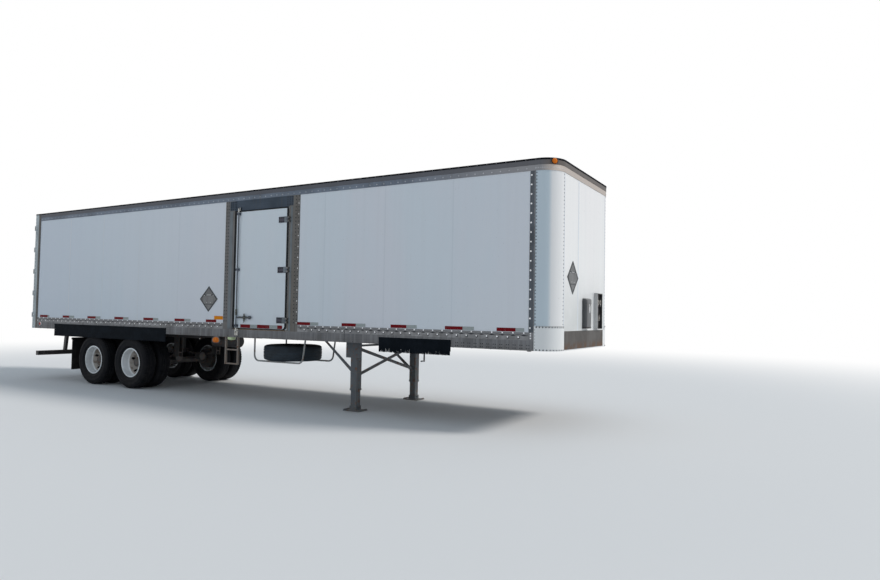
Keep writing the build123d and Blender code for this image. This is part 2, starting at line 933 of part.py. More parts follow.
def hanger(x, y, pad_half):
    """A spring hanger: two cheeks below the frame rail and a pad above the leaves' ends."""
    x0, x1 = x - hanger_half, x + hanger_half
    low = spring_seat + spring_rise - hanger_drop
    outer = frame_rail_width / 2
    inner = outer - hanger_plate
    pad = spring_tip + seat
    pieces = [block(x - pad_half, x + pad_half, y - inner, y + inner, pad, pad + rocker_height)]
    for side in (-1, 1):
        pieces.append(block(x0, x1, y + side * inner, y + side * outer, low, frame_rail_bottom))
    return pieces


def frame_rail():
    """The left rail over the axles with its spring hangers, rocker and mudflap arm."""
    y, w = frame_rail_offset, frame_rail_width / 2
    pieces = [block(rail_rear, rail_front, y - w, y + w, frame_rail_bottom, flange_top)]
    pieces += hanger(axle_rear - spring_half - hanger_out, y, hanger_half)
    pieces += hanger(axle_middle, y, rocker_half)
    pieces += hanger(axle_front + spring_half + hanger_out, y, hanger_half)
    x0, x1 = flap_x - flap_thickness - flap_arm_depth, flap_x - flap_thickness
    pieces.append(block(x0, x1, y - w, half - flap_inset, flap_highest - flap_arm, flap_highest))
    pieces.append(block(x0, x1, y - w, y + w, flap_highest - flap_arm, frame_rail_bottom))
    return joined(pieces)


def cross_beam(x):
    """One cross beam between the two rails over the axles."""
    reach = frame_rail_offset - frame_rail_width / 2
    x0, x1 = x - cross_beam_width / 2, x + cross_beam_width / 2
    z0, z1 = frame_rail_bottom + cross_beam_inset, rail_bottom - cross_beam_inset
    return block(x0, x1, -reach, reach, z0, z1)


def mudflap():
    """The left mudflap behind the rear wheels."""
    y1 = half - flap_inset
    return block(flap_x - flap_thickness, flap_x, y1 - flap_width, y1, flap_lowest, flap_highest)


def rear_guard():
    """The under-ride bar and its two slanted posts."""
    s = guard_size / 2
    reach = half - guard_end
    bar = block(guard_x - s, guard_x + s, -reach, reach, guard_lowest, guard_lowest + guard_size)
    head = rear + post_depth + keeper_gap
    foot = guard_lowest + s
    section = [
        (guard_x - guard_post_half, foot),
        (guard_x + guard_post_half, foot),
        (head + guard_post_head, flange_top),
        (head, flange_top),
    ]
    y0, y1 = guard_post_place - guard_post_width / 2, guard_post_place + guard_post_width / 2
    return joined([bar] + left_and_right(along_y(section, y0, y1)))


def kingpin():
    """The two-inch kingpin: its disc in the coupler plate, then collar, neck and lower flange."""
    pieces = [disc_z(kingpin_x, 0, rail_bottom, flange_top, kingpin_stem)]
    start = 0.0
    for radius, depth in kingpin_steps:
        pieces.append(disc_z(kingpin_x, 0, rail_bottom - depth, rail_bottom - start, radius))
        start = depth
    return joined(pieces)


def coupler_plate():
    """The plate that rests on the fifth wheel, with the hole for the kingpin's disc."""
    reach = half - coupler_inset
    plate = block(front - coupler_back, front - coupler_lead, -reach, reach, rail_bottom, flange_top)
    return plate - disc_z(kingpin_x, 0, rail_bottom, flange_top, kingpin_stem + seat)


def landing_leg():
    """The left leg's outer tube with its mounting plate."""
    h = leg_tube / 2
    y0, y1 = leg_offset - h, leg_offset + h
    tube = square_tube(leg_place - h, leg_place + h, y0, y1, leg_lowest, flange_top, leg_wall, "z")
    x0, x1 = leg_place - leg_plate_half, leg_place + leg_plate_half
    return tube + block(x0, x1, y1, y1 + leg_plate, leg_plate_lowest, flange_top)


def landing_foot():
    """The left leg's inner tube, run down to its foot on the ground."""
    parts = []
    tube = leg_inner / 2
    boss = tube + foot_block_margin
    for half_x, half_y, z0, z1 in (
        (foot_length / 2, foot_width / 2, 0, foot_plate),
        (boss, boss, foot_plate, foot_plate + foot_block),
        (tube, tube, foot_plate, leg_plate_lowest),
    ):
        parts.append(about(leg_place, leg_offset, (z0 + z1) / 2, half_x, half_y, (z1 - z0) / 2))
    return joined(parts)


def landing_braces():
    """The crossed braces between the legs, and the diagonals back to the floor beams."""
    t = brace_thickness
    low, high = brace_lowest, brace_highest
    w = brace_width
    up = [(-leg_face, low), (-leg_face, low + w), (leg_face, high + w), (leg_face, high)]
    down = [(-y, z) for y, z in up]
    cross = along_x(up, leg_place - t, leg_place) + along_x(down, leg_place, leg_place + t)
    x0 = leg_place - leg_tube / 2
    section = [
        (x0, low),
        (x0, low + brace_foot),
        (x0 - brace_run, flange_top),
        (x0 - brace_run - w, flange_top),
    ]
    return [cross] + left_and_right(along_y(section, leg_face, leg_face + t))


def landing_crank():
    """The gearbox, the shaft between the legs and the folded crank on the left."""
    x, z = leg_place + crank_shift, crank_height
    y0 = leg_offset + leg_tube / 2 + leg_plate
    y1 = y0 + gearbox_width
    end = half - crank_inset
    tip = z - crank_arm
    gearbox = about(x, (y0 + y1) / 2, z, gearbox_half_length, gearbox_width / 2, gearbox_half_height)
    crank = joined(
        [
            gearbox,
            disc_y(x, y1, end, z, shaft_radius),
            block(x - shaft_radius, x + shaft_radius, end - shaft_radius, end, tip, z + shaft_radius),
            disc_y(x, end, end - crank_grip, tip + shaft_radius, shaft_radius),
        ]
    )
    return [crank, disc_y(x, -leg_face, leg_face, z + shaft_lift, cross_shaft_radius)]


def side_ladder():
    """The step ladder under the side door."""
    x0, x1 = ladder_bars
    pieces = []
    for x in ladder_bars:
        bar = (x - ladder_bar, x + ladder_bar, ladder_y - ladder_depth, ladder_y + ladder_depth)
        pieces.append(block(*bar, ladder_rungs[0], rail_bottom))
    for z in ladder_rungs:
        pieces.append(block(x0, x1, ladder_y - rung_depth, ladder_y + rung_depth, z, z + rung_height))
    return joined(pieces)


def carrier_hoop(y):
    """One U of bent tube that carries the spare wheel, with the plate at each top end."""
    x0, x1 = carrier_x, carrier_x + carrier_length
    low = carrier_lowest
    corners = [(x0, y, rail_bottom), (x0, y, low), (x1 - carrier_lean, y, low), (x1, y, rail_bottom)]
    path = FilletPolyline(corners, radius=carrier_bend)
    pieces = [sweep(Plane(origin=corners[0], z_dir=(0, 0, -1)) * Circle(carrier_bar), path=path)]
    z = (rail_bottom + flange_top) / 2
    for x in (x0, x1):
        pieces.append(about(x, y, z, carrier_plate_length, carrier_plate_width, rail_flange / 2))
    return joined(pieces)


def lying(shape):
    """A wheel made about Y at the origin, laid flat at the spare's place."""
    return Pos(spare_x, spare_y, spare_z) * Rot(90, 0, 0) * shape


def sign_holder():
    """An empty diamond frame for a sign, its back on the plane y = 0 and its face along +Y."""
    outer = Pos(0, sign_thickness / 2, 0) * Rot(0, 45, 0) * Box(sign_size, sign_thickness, sign_size)
    inner = sign_size - 2 * sign_rim
    return outer - Pos(0, sign_thickness, 0) * Rot(0, 45, 0) * Box(inner, sign_thickness, inner)


def sign_holders():
    """The holders on both sides and on the front wall."""
    side_one = Pos(side_door_rear - sign_setback, half - skin, floor_top + side_sign_height) * sign_holder()
    place = (front - skin, front_sign_inset - wall_half, floor_top + front_sign_height)
    return left_and_right(side_one) + [Pos(*place) * Rot(0, 0, -90) * sign_holder()]


def nose_box():
    """The box for the air and power couplings on the front wall, open at the front."""
    x0, x1, wall = front - skin, front + nose_box_depth, nose_box_wall
    z0, z1 = floor_top + nose_box_lift, floor_top + nose_box_lift + nose_box_height
    inner = block(x0 + wall, x1, nose_y0 + wall, nose_y1 - wall, z0 + wall, z1 - wall)
    return block(x0, x1, nose_y0, nose_y1, z0, z1) - inner


def air_couplings():
    """Two air coupling heads and the power socket inside the nose box."""
    x = front - skin + nose_box_wall
    middle = (nose_y0 + nose_y1) / 2
    bottom = floor_top + nose_box_lift
    pieces = [disc_x(x, x + socket_reach, middle, bottom + socket_lift, socket_radius)]
    z = bottom + nose_box_height - coupling_drop
    for y in (nose_y0 + coupling_side, nose_y1 - coupling_side):
        head = x + coupling_reach - coupling_thickness
        neck = disc_x(x, head, y, z, coupling_neck)
        pieces.append(neck + disc_x(head, x + coupling_reach, y, z, coupling_radius))
    return pieces


def papers_box():
    """The weathertight papers box on the front wall, its upright edges round."""
    y1 = nose_y0 - papers_gap
    z0 = floor_top + papers_lift
    body = block(front - skin, front + papers_depth, y1 - papers_width, y1, z0, z0 + papers_height)
    return fillet(body.edges().filter_by(Axis.Z).group_by(Axis.X)[-1], papers_round)


def round_lamp(x, y, z, turn, radius, depth):
    """A round lamp that stands on (x, y, z) and looks along +X turned about Z."""
    return Pos(x, y, z) * Rot(0, 0, turn) * Pos(depth / 2, 0, 0) * Rot(0, 90, 0) * Cylinder(radius, depth)


def corner_lamp():
    """The left lamp at the top of the round front corner."""
    turn = radians(corner_lamp_turn)
    reach = front_corner_radius - rail_step
    x, y = front - front_corner_radius + reach * cos(turn), wall_half + reach * sin(turn)
    z = roof_height - corner_lamp_radius - rail_step
    lamp = round_lamp(x, y, z, corner_lamp_turn, corner_lamp_radius, corner_lamp_depth)
    edge = -(roof_edge_proud + seat)
    lamp = lamp - plan_ring(edge, skin, corner_start, roof_top - roof_edge_lip - seat, roof_height)
    return lamp - plan_ring(-seat, skin, corner_start, top_rail_bottom, bow_top)


def side_lamp():
    """The left marker lamp under the bottom rail, hung by its bracket."""
    x0 = side_door_rear - side_lamp_setback
    x1 = x0 + side_lamp_length
    z1 = rail_bottom - side_lamp_drop
    lamp = block(x0, x1, half + lamp_reach - side_lamp_width, half + lamp_reach, z1 - side_lamp_height, z1)
    t = side_lamp_length / 4
    return lamp + block(x0 + t, x1 - t, half + lamp_reach - side_lamp_width, half, z1, rail_bottom)


def marker_lamps():
    """Corner lamps at the top of the front, a lamp under each bottom rail and one by the ladder."""
    x, y = ladder_x + step_lamp_place, step_lamp_inset - half
    step_lamp = disc_z(x, y, rail_bottom - step_lamp_height, rail_bottom, step_lamp_radius)
    return [step_lamp] + left_and_right(corner_lamp()) + left_and_right(side_lamp())


def red_lamps():
    """Rear side markers, tail lamps in the sill and the small lamps on the header."""
    x, z = rear + marker_place, rail_bottom + marker_lift
    lamps = left_and_right(round_lamp(x, half, z, 90, marker_radius, marker_depth))
    z = rail_bottom + tail_lamp_lift
    for inset in tail_lamp_insets:
        lamp = round_lamp(door_face, post_inner - inset, z, 180, tail_lamp_radius, tail_lamp_depth)
        lamps += left_and_right(lamp)
    end, z = post_inner - top_lamp_inset, bow_top - top_lamp_drop
    for y in (-end, -top_lamp_pitch, 0, top_lamp_pitch, end):
        lamps.append(round_lamp(door_face, y, z, 180, top_lamp_radius, top_lamp_depth))
    return lamps


def air_tank():
    """The air reservoir with its two straps to the floor beams."""
    x0 = rail_front + tank_gap
    x1 = x0 + tank_length
    y, z, r = -tank_offset, rail_bottom - tank_drop, tank_radius
    pieces = [disc_x(x0, x1, y, z, r)]
    for x in (x0 + r, x1 - r):
        y0, y1 = y - tank_strap_reach, y + tank_strap_reach
        pieces.append(block(x - tank_strap_half, x + tank_strap_half, y0, y1, z + r / 2, rail_bottom))
        pieces.append(block(x - tank_strap_plate, x + tank_strap_plate, y0, y1, rail_bottom, flange_top))
    return joined(pieces)


# Places that several pieces share
side_hinges = (side_hinge_ends[0], sum(side_hinge_ends) / 2, side_hinge_ends[1])
rod_x = side_door_rear + side_rod_place
rail_rear, rail_front = rear + frame_rail_rear, axle_front + frame_rail_front
nose_y1 = wall_half - nose_box_inset
nose_y0 = nose_y1 - nose_box_width

nodes = {}

# Floor, rails and roof
beam_places = spread(rear + post_depth + beam_width, corner_start - beam_width, beam_pitch)
nodes["floor_beams"] = [floor_beam(x) for x in beam_places]
nodes["bottom_rails"] = [bottom_rail(), right_bottom_rail(), front_bottom_rail()]
deck_plan = plan_face(skin + seat, rear + post_depth)
nodes["floor_deck"] = [Pos(0, 0, beam_top) * extrude(deck_plan, amount=floor_thickness)]
nodes["top_rails"] = left_and_right(top_rail()) + [front_top_rail()]
nodes["roof_sheet"] = [Pos(0, 0, bow_top) * extrude(plan_face(0, rear), amount=roof_sheet)]
nodes["roof_edge"] = [roof_edge()]
bow_places = spread(rear + post_depth + bow_width, front - top_rail_front, bow_pitch)
nodes["roof_bows"] = [roof_bow(x) for x in bow_places]

# Walls
panel_rear, gap = rear + post_depth, panel_gap / 2
left_panels = ((panel_rear, mid - gap), (mid + gap, strip_start))
right_panels = ((panel_rear, frame_rear), (frame_front, strip_start))
nodes["side_panels_left"] = [wall_panel(*ends) for ends in left_panels]
nodes["side_panels_right"] = [other_side(wall_panel(*ends)) for ends in right_panels]
nodes["corner_strips"] = left_and_right(corner_strip())
nodes["front_corners"] = left_and_right(front_corner())
nodes["front_wall"] = [block(front - wall_inset, front - skin, -wall_half, wall_half, floor_top, wall_top)]
scuff_near, scuff_far = scuff_near_inset - wall_half, wall_half - scuff_far_inset
scuff_z = rail_bottom + scuff_lift
nodes["scuff_plate"] = [
    block(front, front + scuff_thickness, scuff_near, scuff_far, scuff_z, scuff_z + scuff_height),
]

# Rear frame, doors and their fittings
nodes["rear_posts"] = left_and_right(rear_post())
above = (top_rail_bottom + keeper_near, top_rail_bottom + keeper_far)
below = (floor_top - keeper_far, floor_top - keeper_near)
nodes["rear_header"] = [rear_beam(top_rail_bottom, bow_top, *above)]
nodes["rear_sill"] = [rear_beam(rail_bottom, floor_top, *below)]
rear_fittings = [rear_strap(z) for z in rear_hinges()] + [rear_rod(*row) for row in rod_table]
nodes["rear_door_left"] = [rear_leaf()]
nodes["rear_lock_left"] = rear_fittings
nodes["rear_door_right"] = [other_side(rear_leaf())]
nodes["rear_lock_right"] = [other_side(piece) for piece in rear_fittings]
nodes["side_door_posts"] = side_posts()
nodes["side_door_header"] = [side_header()]
nodes["side_door"] = [side_leaf()]
nodes["side_door_lock"] = [side_strap(z) for z in side_hinges] + [side_rod()]

# Wheels, axles and frame
for place, x in wheel_places:
    left_tyres = [turned(tyre(y), x, tyre_radius) for y in (outer_tyre, inner_tyre)]
    left_rims = rims(x)
    left_hub = hub(x)
    nodes[f"tyres_{place}_left"] = left_tyres
    nodes[f"rims_{place}_left"] = [left_rims]
    nodes[f"hub_{place}_left"] = [left_hub]
    nodes[f"tyres_{place}_right"] = [other_side(piece) for piece in left_tyres]
    nodes[f"rims_{place}_right"] = [other_side(left_rims)]
    nodes[f"hub_{place}_right"] = [other_side(left_hub)]
nodes["axles"] = [axle(x) for _, x in wheel_places]
spring_places = [(x, side * frame_rail_offset) for _, x in wheel_places for side in (-1, 1)]
nodes["leaf_springs"] = [leaf_spring(x, y) for x, y in spring_places]
nodes["frame_rails"] = left_and_right(frame_rail())
beam_ends = (rail_rear + cross_beam_setback, axle_middle, rail_front - cross_beam_setback)
nodes["frame_cross_beams"] = [cross_beam(x) for x in beam_ends]
nodes["mudflaps"] = left_and_right(mudflap())
nodes["rear_guard"] = [rear_guard()]

# Coupling and landing gear
nodes["coupler_plate"] = [coupler_plate()]
nodes["kingpin"] = [kingpin()]
nodes["landing_legs"] = left_and_right(landing_leg())
nodes["landing_feet"] = left_and_right(landing_foot())
nodes["landing_braces"] = landing_braces()
nodes["landing_crank"] = landing_crank()

# What the body carries
skirts = [block(x, x + length, half, half + skirt_thickness, z0, z1) for x, length, z0, z1 in skirt_table]
nodes["skirts"] = skirts + [other_side(piece) for piece in skirts]
nodes["side_ladder"] = [side_ladder()]
nodes["spare_carrier"] = [carrier_hoop(spare_y + side * carrier_reach) for side in (-1, 1)]
nodes["spare_tyre"] = [lying(turned(tyre(0), 0, 0))]
nodes["spare_rim"] = [lying(rim(0, -rim_offset / 2, 1, 0, 0))]
nodes["sign_holders"] = sign_holders()
nodes["nose_box"] = [nose_box()]
nodes["air_couplings"] = air_couplings()
nodes["papers_box"] = [papers_box()]
nodes["marker_lamps"] = marker_lamps()
nodes["red_lamps"] = red_lamps()
nodes["air_tank"] = [air_tank()]

for name, shapes in nodes.items():
    export_step(Compound(children=list(shapes)) if len(shapes) > 1 else shapes[0], f"parts/{name}.step")
print(len(nodes), "nodes written")
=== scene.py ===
# %% [markdown]
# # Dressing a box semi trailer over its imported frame
#
# The solids of this trailer come from a CAD source and are already in place: rails, walls, doors, wheels,
# landing legs. Blender's work is the look. Each solid gets a finish made of nodes, and the small things
# that give a trailer its scale, such as rivets, seals, tread, bristles and reflective tape, are built as
# meshes and set on the solids.
#
# Everything is in metres: +X is the towing end, -Y the side with the door, +Z up, the ground is z = 0.

import json
import math
import random

import bmesh
import bpy
from mathutils import Matrix, Vector


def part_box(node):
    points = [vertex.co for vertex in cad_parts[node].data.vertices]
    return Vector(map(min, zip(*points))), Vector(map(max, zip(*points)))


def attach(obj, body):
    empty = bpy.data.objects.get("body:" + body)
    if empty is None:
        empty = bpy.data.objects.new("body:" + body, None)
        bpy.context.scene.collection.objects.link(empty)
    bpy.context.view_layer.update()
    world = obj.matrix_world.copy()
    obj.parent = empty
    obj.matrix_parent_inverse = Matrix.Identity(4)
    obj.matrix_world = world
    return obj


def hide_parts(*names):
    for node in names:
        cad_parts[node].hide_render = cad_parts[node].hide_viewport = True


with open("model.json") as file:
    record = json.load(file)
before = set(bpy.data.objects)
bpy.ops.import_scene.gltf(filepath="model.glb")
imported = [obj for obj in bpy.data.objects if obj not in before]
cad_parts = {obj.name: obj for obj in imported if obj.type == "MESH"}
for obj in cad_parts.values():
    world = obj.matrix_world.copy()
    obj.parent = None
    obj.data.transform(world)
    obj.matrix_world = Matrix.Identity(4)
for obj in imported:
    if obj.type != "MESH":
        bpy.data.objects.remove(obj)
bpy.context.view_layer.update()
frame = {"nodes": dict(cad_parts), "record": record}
nodes = frame["nodes"]
slot_of = {row["node"]: row["material_slot"] for row in frame["record"]["subparts"]}

# %% [markdown]
# Sizes are measured from the solids, so the dressing follows them if the source is built anew. `low` and
# `high` give one coordinate of a node's box. The names below are the few planes that many of the pieces
# sit on.


# %% Measure the solids
def low(node, axis):
    """The lowest coordinate of a node along x, y or z."""
    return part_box(node)[0]["xyz".index(axis)]


def high(node, axis):
    """The highest coordinate of a node along x, y or z."""
    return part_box(node)[1]["xyz".index(axis)]


def mid(node, axis):
    """The middle of a node's box along x, y or z."""
    return (low(node, axis) + high(node, axis)) / 2


half = high("roof_sheet", "y")
rear, front = low("roof_sheet", "x"), high("roof_sheet", "x")
middle = (rear + front) / 2
rail_bottom = low("bottom_rails", "z")
band_top, rail_top = rail_bottom + 0.142, rail_bottom + 0.252
floor_top = high("floor_deck", "z")
wall_y = high("side_panels_left", "y")
wall_front = high("front_wall", "x")
top_rail_low, top_rail_high = low("top_rails", "z"), high("top_rails", "z")
door_x0, door_x1 = low("side_door", "x"), high("side_door", "x")
frame_x0, frame_x1 = low("side_door_posts", "x"), high("side_door_posts", "x")
corner_x = low("front_corners", "x")
strip_x = low("corner_strips", "x")
flat_y = high("front_wall", "y")
header_low = low("side_door_header", "z")
wheel_x = {end: mid(f"tyres_{end}_left", "x") for end in ("rear", "front")}
tyre_radius = high("tyres_rear_left", "z") / 2
print("body", round(front - rear, 3), "x", round(2 * half, 3), "wheels at", wheel_x)

# %% [markdown]
# ## Effects shared by the finishes
#
# A worn trailer is one set of effects at different strengths: cloudy patches, streaks under the rails,
# road dirt that grows towards the ground, rust that breaks through in spots, paint rubbed off the edges.
# Each effect could be built again inside every material. Here each is one node group with named sockets,
# built once, so that a finish only states its own values. All of them read Object coordinates, which stay
# with a piece when its door or wheel turns.


# %% Small helpers for node trees
def put(tree, kind, **settings):
    """A new node in the tree, with its settings."""
    node = tree.nodes.new(kind)
    for name, value in settings.items():
        setattr(node, name, value)
    return node


def feed(tree, socket, value):
    """Links an output into the socket, or sets the socket to a plain value."""
    if isinstance(value, bpy.types.NodeSocket):
        tree.links.new(value, socket)
    elif hasattr(socket.default_value, "__len__") and len(socket.default_value) == 4:
        socket.default_value = (*value, 1.0)[:4]
    else:
        socket.default_value = value


def effect(name, inputs, outputs=("Mask",)):
    """An empty node group: its tree, its input node and its output node."""
    tree = bpy.data.node_groups.new(name, "ShaderNodeTree")
    for label, default in inputs.items():
        kind = "NodeSocketVector" if hasattr(default, "__len__") else "NodeSocketFloat"
        tree.interface.new_socket(label, in_out="INPUT", socket_type=kind).default_value = default
    for label in outputs:
        tree.interface.new_socket(label, in_out="OUTPUT", socket_type="NodeSocketFloat")
    return tree, put(tree, "NodeGroupInput").outputs, put(tree, "NodeGroupOutput").inputs


def arithmetic(tree, operation, first, second, clamp=False):
    """One Math node: first and second are sockets or numbers."""
    node = put(tree, "ShaderNodeMath", operation=operation, use_clamp=clamp)
    feed(tree, node.inputs[0], first)
    feed(tree, node.inputs[1], second)
    return node.outputs[0]


def fade(tree, value, start, end):
    """0 where the value is at start, 1 where it is at end, with a smooth step between."""
    node = put(tree, "ShaderNodeMapRange", interpolation_type="SMOOTHSTEP")
    feed(tree, node.inputs["Value"], value)
    feed(tree, node.inputs["From Min"], start)
    feed(tree, node.inputs["From Max"], end)
    return node.outputs["Result"]


def noise_at(tree, scale, stretch=(1, 1, 1), detail=4.0):
    """Noise over the piece; a small stretch number draws it out along that axis."""
    place = put(tree, "ShaderNodeTexCoord").outputs["Object"]
    squeeze = put(tree, "ShaderNodeVectorMath", operation="MULTIPLY")
    feed(tree, squeeze.inputs[0], place)
    feed(tree, squeeze.inputs[1], stretch)
    noise = put(tree, "ShaderNodeTexNoise")
    feed(tree, noise.inputs["Vector"], squeeze.outputs[0])
    feed(tree, noise.inputs["Scale"], scale)
    feed(tree, noise.inputs["Detail"], detail)
    return noise.outputs["Fac"]


# %% The four effects
tree, given, result = effect(
    "Patches", {"Scale": 1.0, "Stretch": (1, 1, 1), "Start": 0.45, "End": 0.65, "Detail": 5.0}
)
noise = noise_at(tree, given["Scale"], given["Stretch"], given["Detail"])
feed(tree, result["Mask"], fade(tree, noise, given["Start"], given["End"]))

tree, given, result = effect("Road dirt", {"Clean height": 1.4, "Dirty height": 0.3, "Scale": 6.0})
up = put(tree, "ShaderNodeSeparateXYZ")
feed(tree, up.inputs[0], put(tree, "ShaderNodeTexCoord").outputs["Object"])
spread_of_dirt = fade(tree, up.outputs["Z"], given["Clean height"], given["Dirty height"])
splashes = fade(tree, noise_at(tree, given["Scale"]), 0.25, 0.7)
feed(tree, result["Mask"], arithmetic(tree, "MULTIPLY", spread_of_dirt, splashes, clamp=True))

tree, given, result = effect("Settled dust", {"Scale": 4.0})
facing = put(tree, "ShaderNodeSeparateXYZ")
feed(tree, facing.inputs[0], put(tree, "ShaderNodeNewGeometry").outputs["Normal"])
lying = fade(tree, facing.outputs["Z"], 0.3, 0.95)
cloud = fade(tree, noise_at(tree, given["Scale"]), 0.2, 0.75)
feed(tree, result["Mask"], arithmetic(tree, "MULTIPLY", lying, cloud, clamp=True))

tree, given, result = effect("Rubbed edges", {"Width": 0.006, "Scale": 30.0})
rounded = put(tree, "ShaderNodeBevel", samples=4)
feed(tree, rounded.inputs["Radius"], given["Width"])
across = put(tree, "ShaderNodeVectorMath", operation="DOT_PRODUCT")
feed(tree, across.inputs[0], rounded.outputs["Normal"])
feed(tree, across.inputs[1], put(tree, "ShaderNodeNewGeometry").outputs["Normal"])
edge = fade(tree, across.outputs["Value"], 0.995, 0.86)
chips = fade(tree, noise_at(tree, given["Scale"]), 0.42, 0.62)
feed(tree, result["Mask"], arithmetic(tree, "MULTIPLY", edge, chips, clamp=True))

print("effects:", [group.name for group in bpy.data.node_groups])

# %% [markdown]
# ## A finish, layer by layer
#
# A finish starts as one Principled shader with a base colour. `over` lays another colour on it where a
# mask says so, the way grime lies over paint, and `relief` turns a mask into small bumps. The shader
# itself stays in the material, with whatever is the same all over set straight on its sockets.


# %% The Finish class
class Finish:
    """A Principled material that grows layer by layer."""

    def __init__(self, name, colour, roughness, metallic=0.0, **constants):
        self.material = bpy.data.materials.new(name)
        self.material.use_nodes = True
        self.tree = self.material.node_tree
        self.shader = self.tree.nodes["Principled BSDF"]
        self.values = {"Base Color": colour, "Roughness": roughness, "Metallic": metallic}
        self.bump = None
        for label, value in constants.items():
            feed(self.tree, self.shader.inputs[label.replace("_", " ")], value)
        for label, value in self.values.items():
            feed(self.tree, self.shader.inputs[label], value)

    def mask(self, group, **values):
        """Places one of the shared effects and gives its mask."""
        node = put(self.tree, "ShaderNodeGroup", node_tree=bpy.data.node_groups[group])
        for label, value in values.items():
            feed(self.tree, node.inputs[label.replace("_", " ")], value)
        return node.outputs["Mask"]

    def part(self, mask, share):
        """The mask at a part of its strength, or of another mask's."""
        return arithmetic(self.tree, "MULTIPLY", mask, share)

    def band(self, axis, start, end, mirrored=False):
        """A mask that rises along one axis between two coordinates; mirrored counts from the middle."""
        place = put(self.tree, "ShaderNodeSeparateXYZ")
        feed(self.tree, place.inputs[0], put(self.tree, "ShaderNodeTexCoord").outputs["Object"])
        along = place.outputs[axis.upper()]
        if mirrored:
            along = arithmetic(self.tree, "ABSOLUTE", along, 0.0)
        return fade(self.tree, along, start, end)

    def over(self, mask, colour, roughness=None, metallic=None):
        """Lays a colour over the finish where the mask is 1."""
        for label, value in (("Base Color", colour), ("Roughness", roughness), ("Metallic", metallic)):
            if value is None:
                continue
            kind, first, out = ("RGBA", 6, 2) if label == "Base Color" else ("FLOAT", 2, 0)
            mix = put(self.tree, "ShaderNodeMix", data_type=kind)
            feed(self.tree, mix.inputs[0], mask)
            feed(self.tree, mix.inputs[first], self.values[label])
            feed(self.tree, mix.inputs[first + 1], value)
            self.values[label] = mix.outputs[out]
            feed(self.tree, self.shader.inputs[label], self.values[label])
        return self

    def patches(self, share, colour, roughness=None, metallic=None, **values):
        """Lays a colour over the finish in cloudy patches, at a share of their strength."""
        return self.over(self.part(self.mask("Patches", **values), share), colour, roughness, metallic)

    def dirt(self, share, colour, roughness=None, metallic=None, **values):
        """Lays road dirt over the finish, at a share of its strength."""
        return self.over(self.part(self.mask("Road dirt", **values), share), colour, roughness, metallic)

    def relief(self, mask, depth, strength=1.0):
        """Bumps as deep as stated, in metres, where the mask is 1."""
        bump = put(self.tree, "ShaderNodeBump")
        feed(self.tree, bump.inputs["Strength"], strength)
        feed(self.tree, bump.inputs["Distance"], depth)
        feed(self.tree, bump.inputs["Height"], mask)
        if self.bump is not None:
            feed(self.tree, bump.inputs["Normal"], self.bump)
        self.bump = bump.outputs["Normal"]
        feed(self.tree, self.shader.inputs["Normal"], self.bump)
        return self

    def bumps(self, depth, strength, **values):
        """Bumps in the pattern of the patches, as deep as stated, in metres."""
        return self.relief(self.mask("Patches", **values), depth, strength)


# %% [markdown]
# ## White walls
#
# The walls are sheets with a white baked coat, years in the weather: nearly clean, with faint vertical
# run marks and a little road dirt at the foot. Broad warm and cool vertical bands, the warm ones slightly
# duller, are painted reflection; the side walls carry a painted bluish shade that deepens towards the
# rear, and each round corner a painted bluish reflection near its side edge. The light side of that is
# easy to overdo, so each layer is a small step in colour. The inside of each wall is a plywood lining,
# which a mask by depth keeps off the outside.

# %% Wall finishes
wall_slots = (
    # finish, name in the file, axis through the wall, its outer face, direction inwards
    ("wall_left", "Left wall white", "y", wall_y, -1),
    ("wall_right", "Right wall white", "y", -wall_y, 1),
    ("wall_front", "Front wall white", "x", wall_front, -1),
)
# The side walls' white is the front's white made bluer and a little darker: painted shade.
side_white_painted_shade, front_white = (0.74, 0.77, 0.81), (0.81, 0.81, 0.80)
skin_depth = 0.006
finishes = {}


def tinted(colour, *shares):
    """The colour with one factor for all channels, or one for each."""
    return [c * t for c, t in zip(colour, shares * 3)]


def white_wall(name, colour):
    """White sheet with run marks, painted reflection bands and a dirty foot."""
    f = Finish(name, colour, 0.38, Coat_Weight=0.15, Coat_Roughness=0.25)
    # Broad warm and cool vertical bands: painted reflection.
    warm, cool = tinted(colour, 1.0, 0.975, 0.985), tinted(colour, 0.95, 0.99, 1.0)
    f.patches(0.8, warm, 0.42, Scale=0.35, Stretch=(1, 1, 0.3), Start=0.4, End=0.6)
    f.patches(0.8, cool, 0.36, Scale=0.6, Stretch=(1, 1, 0.25), Start=0.5, End=0.68)
    f.patches(0.10, (0.60, 0.62, 0.64), 0.5, Scale=2.2, Stretch=(5, 5, 0.12), Start=0.44, End=0.74)
    f.patches(0.06, (0.5, 0.5, 0.49), 0.55, Scale=9.0, Stretch=(4, 4, 0.1), Start=0.6, End=0.78)
    f.patches(
        0.25, (0.42, 0.42, 0.42), 0.6, Scale=38.0, Stretch=(1, 1, 0.6), Start=0.70, End=0.74, Detail=2.0
    )
    f.dirt(0.14, (0.47, 0.45, 0.42), 0.7, Clean_height=1.62, Dirty_height=1.28, Scale=5.0)
    f.bumps(0.003, 0.25, Scale=1.3, Stretch=(1, 1, 0.5), Start=0.2, End=0.8, Detail=1.0)
    f.bumps(0.0002, 0.25, Scale=220.0, Start=0.3, End=0.7, Detail=2.0)
    return f


def lined(f, axis, outer, inner):
    """Lays the plywood lining over a wall's inner side, between two depths."""
    depth = f.band(axis, outer, inner)
    grain = f.mask("Patches", Scale=3.0, Stretch=(1, 1, 14), Start=0.35, End=0.7)
    f.over(depth, (0.52, 0.40, 0.25), 0.62)
    f.over(f.part(grain, depth), (0.36, 0.25, 0.14), 0.7)
    return f
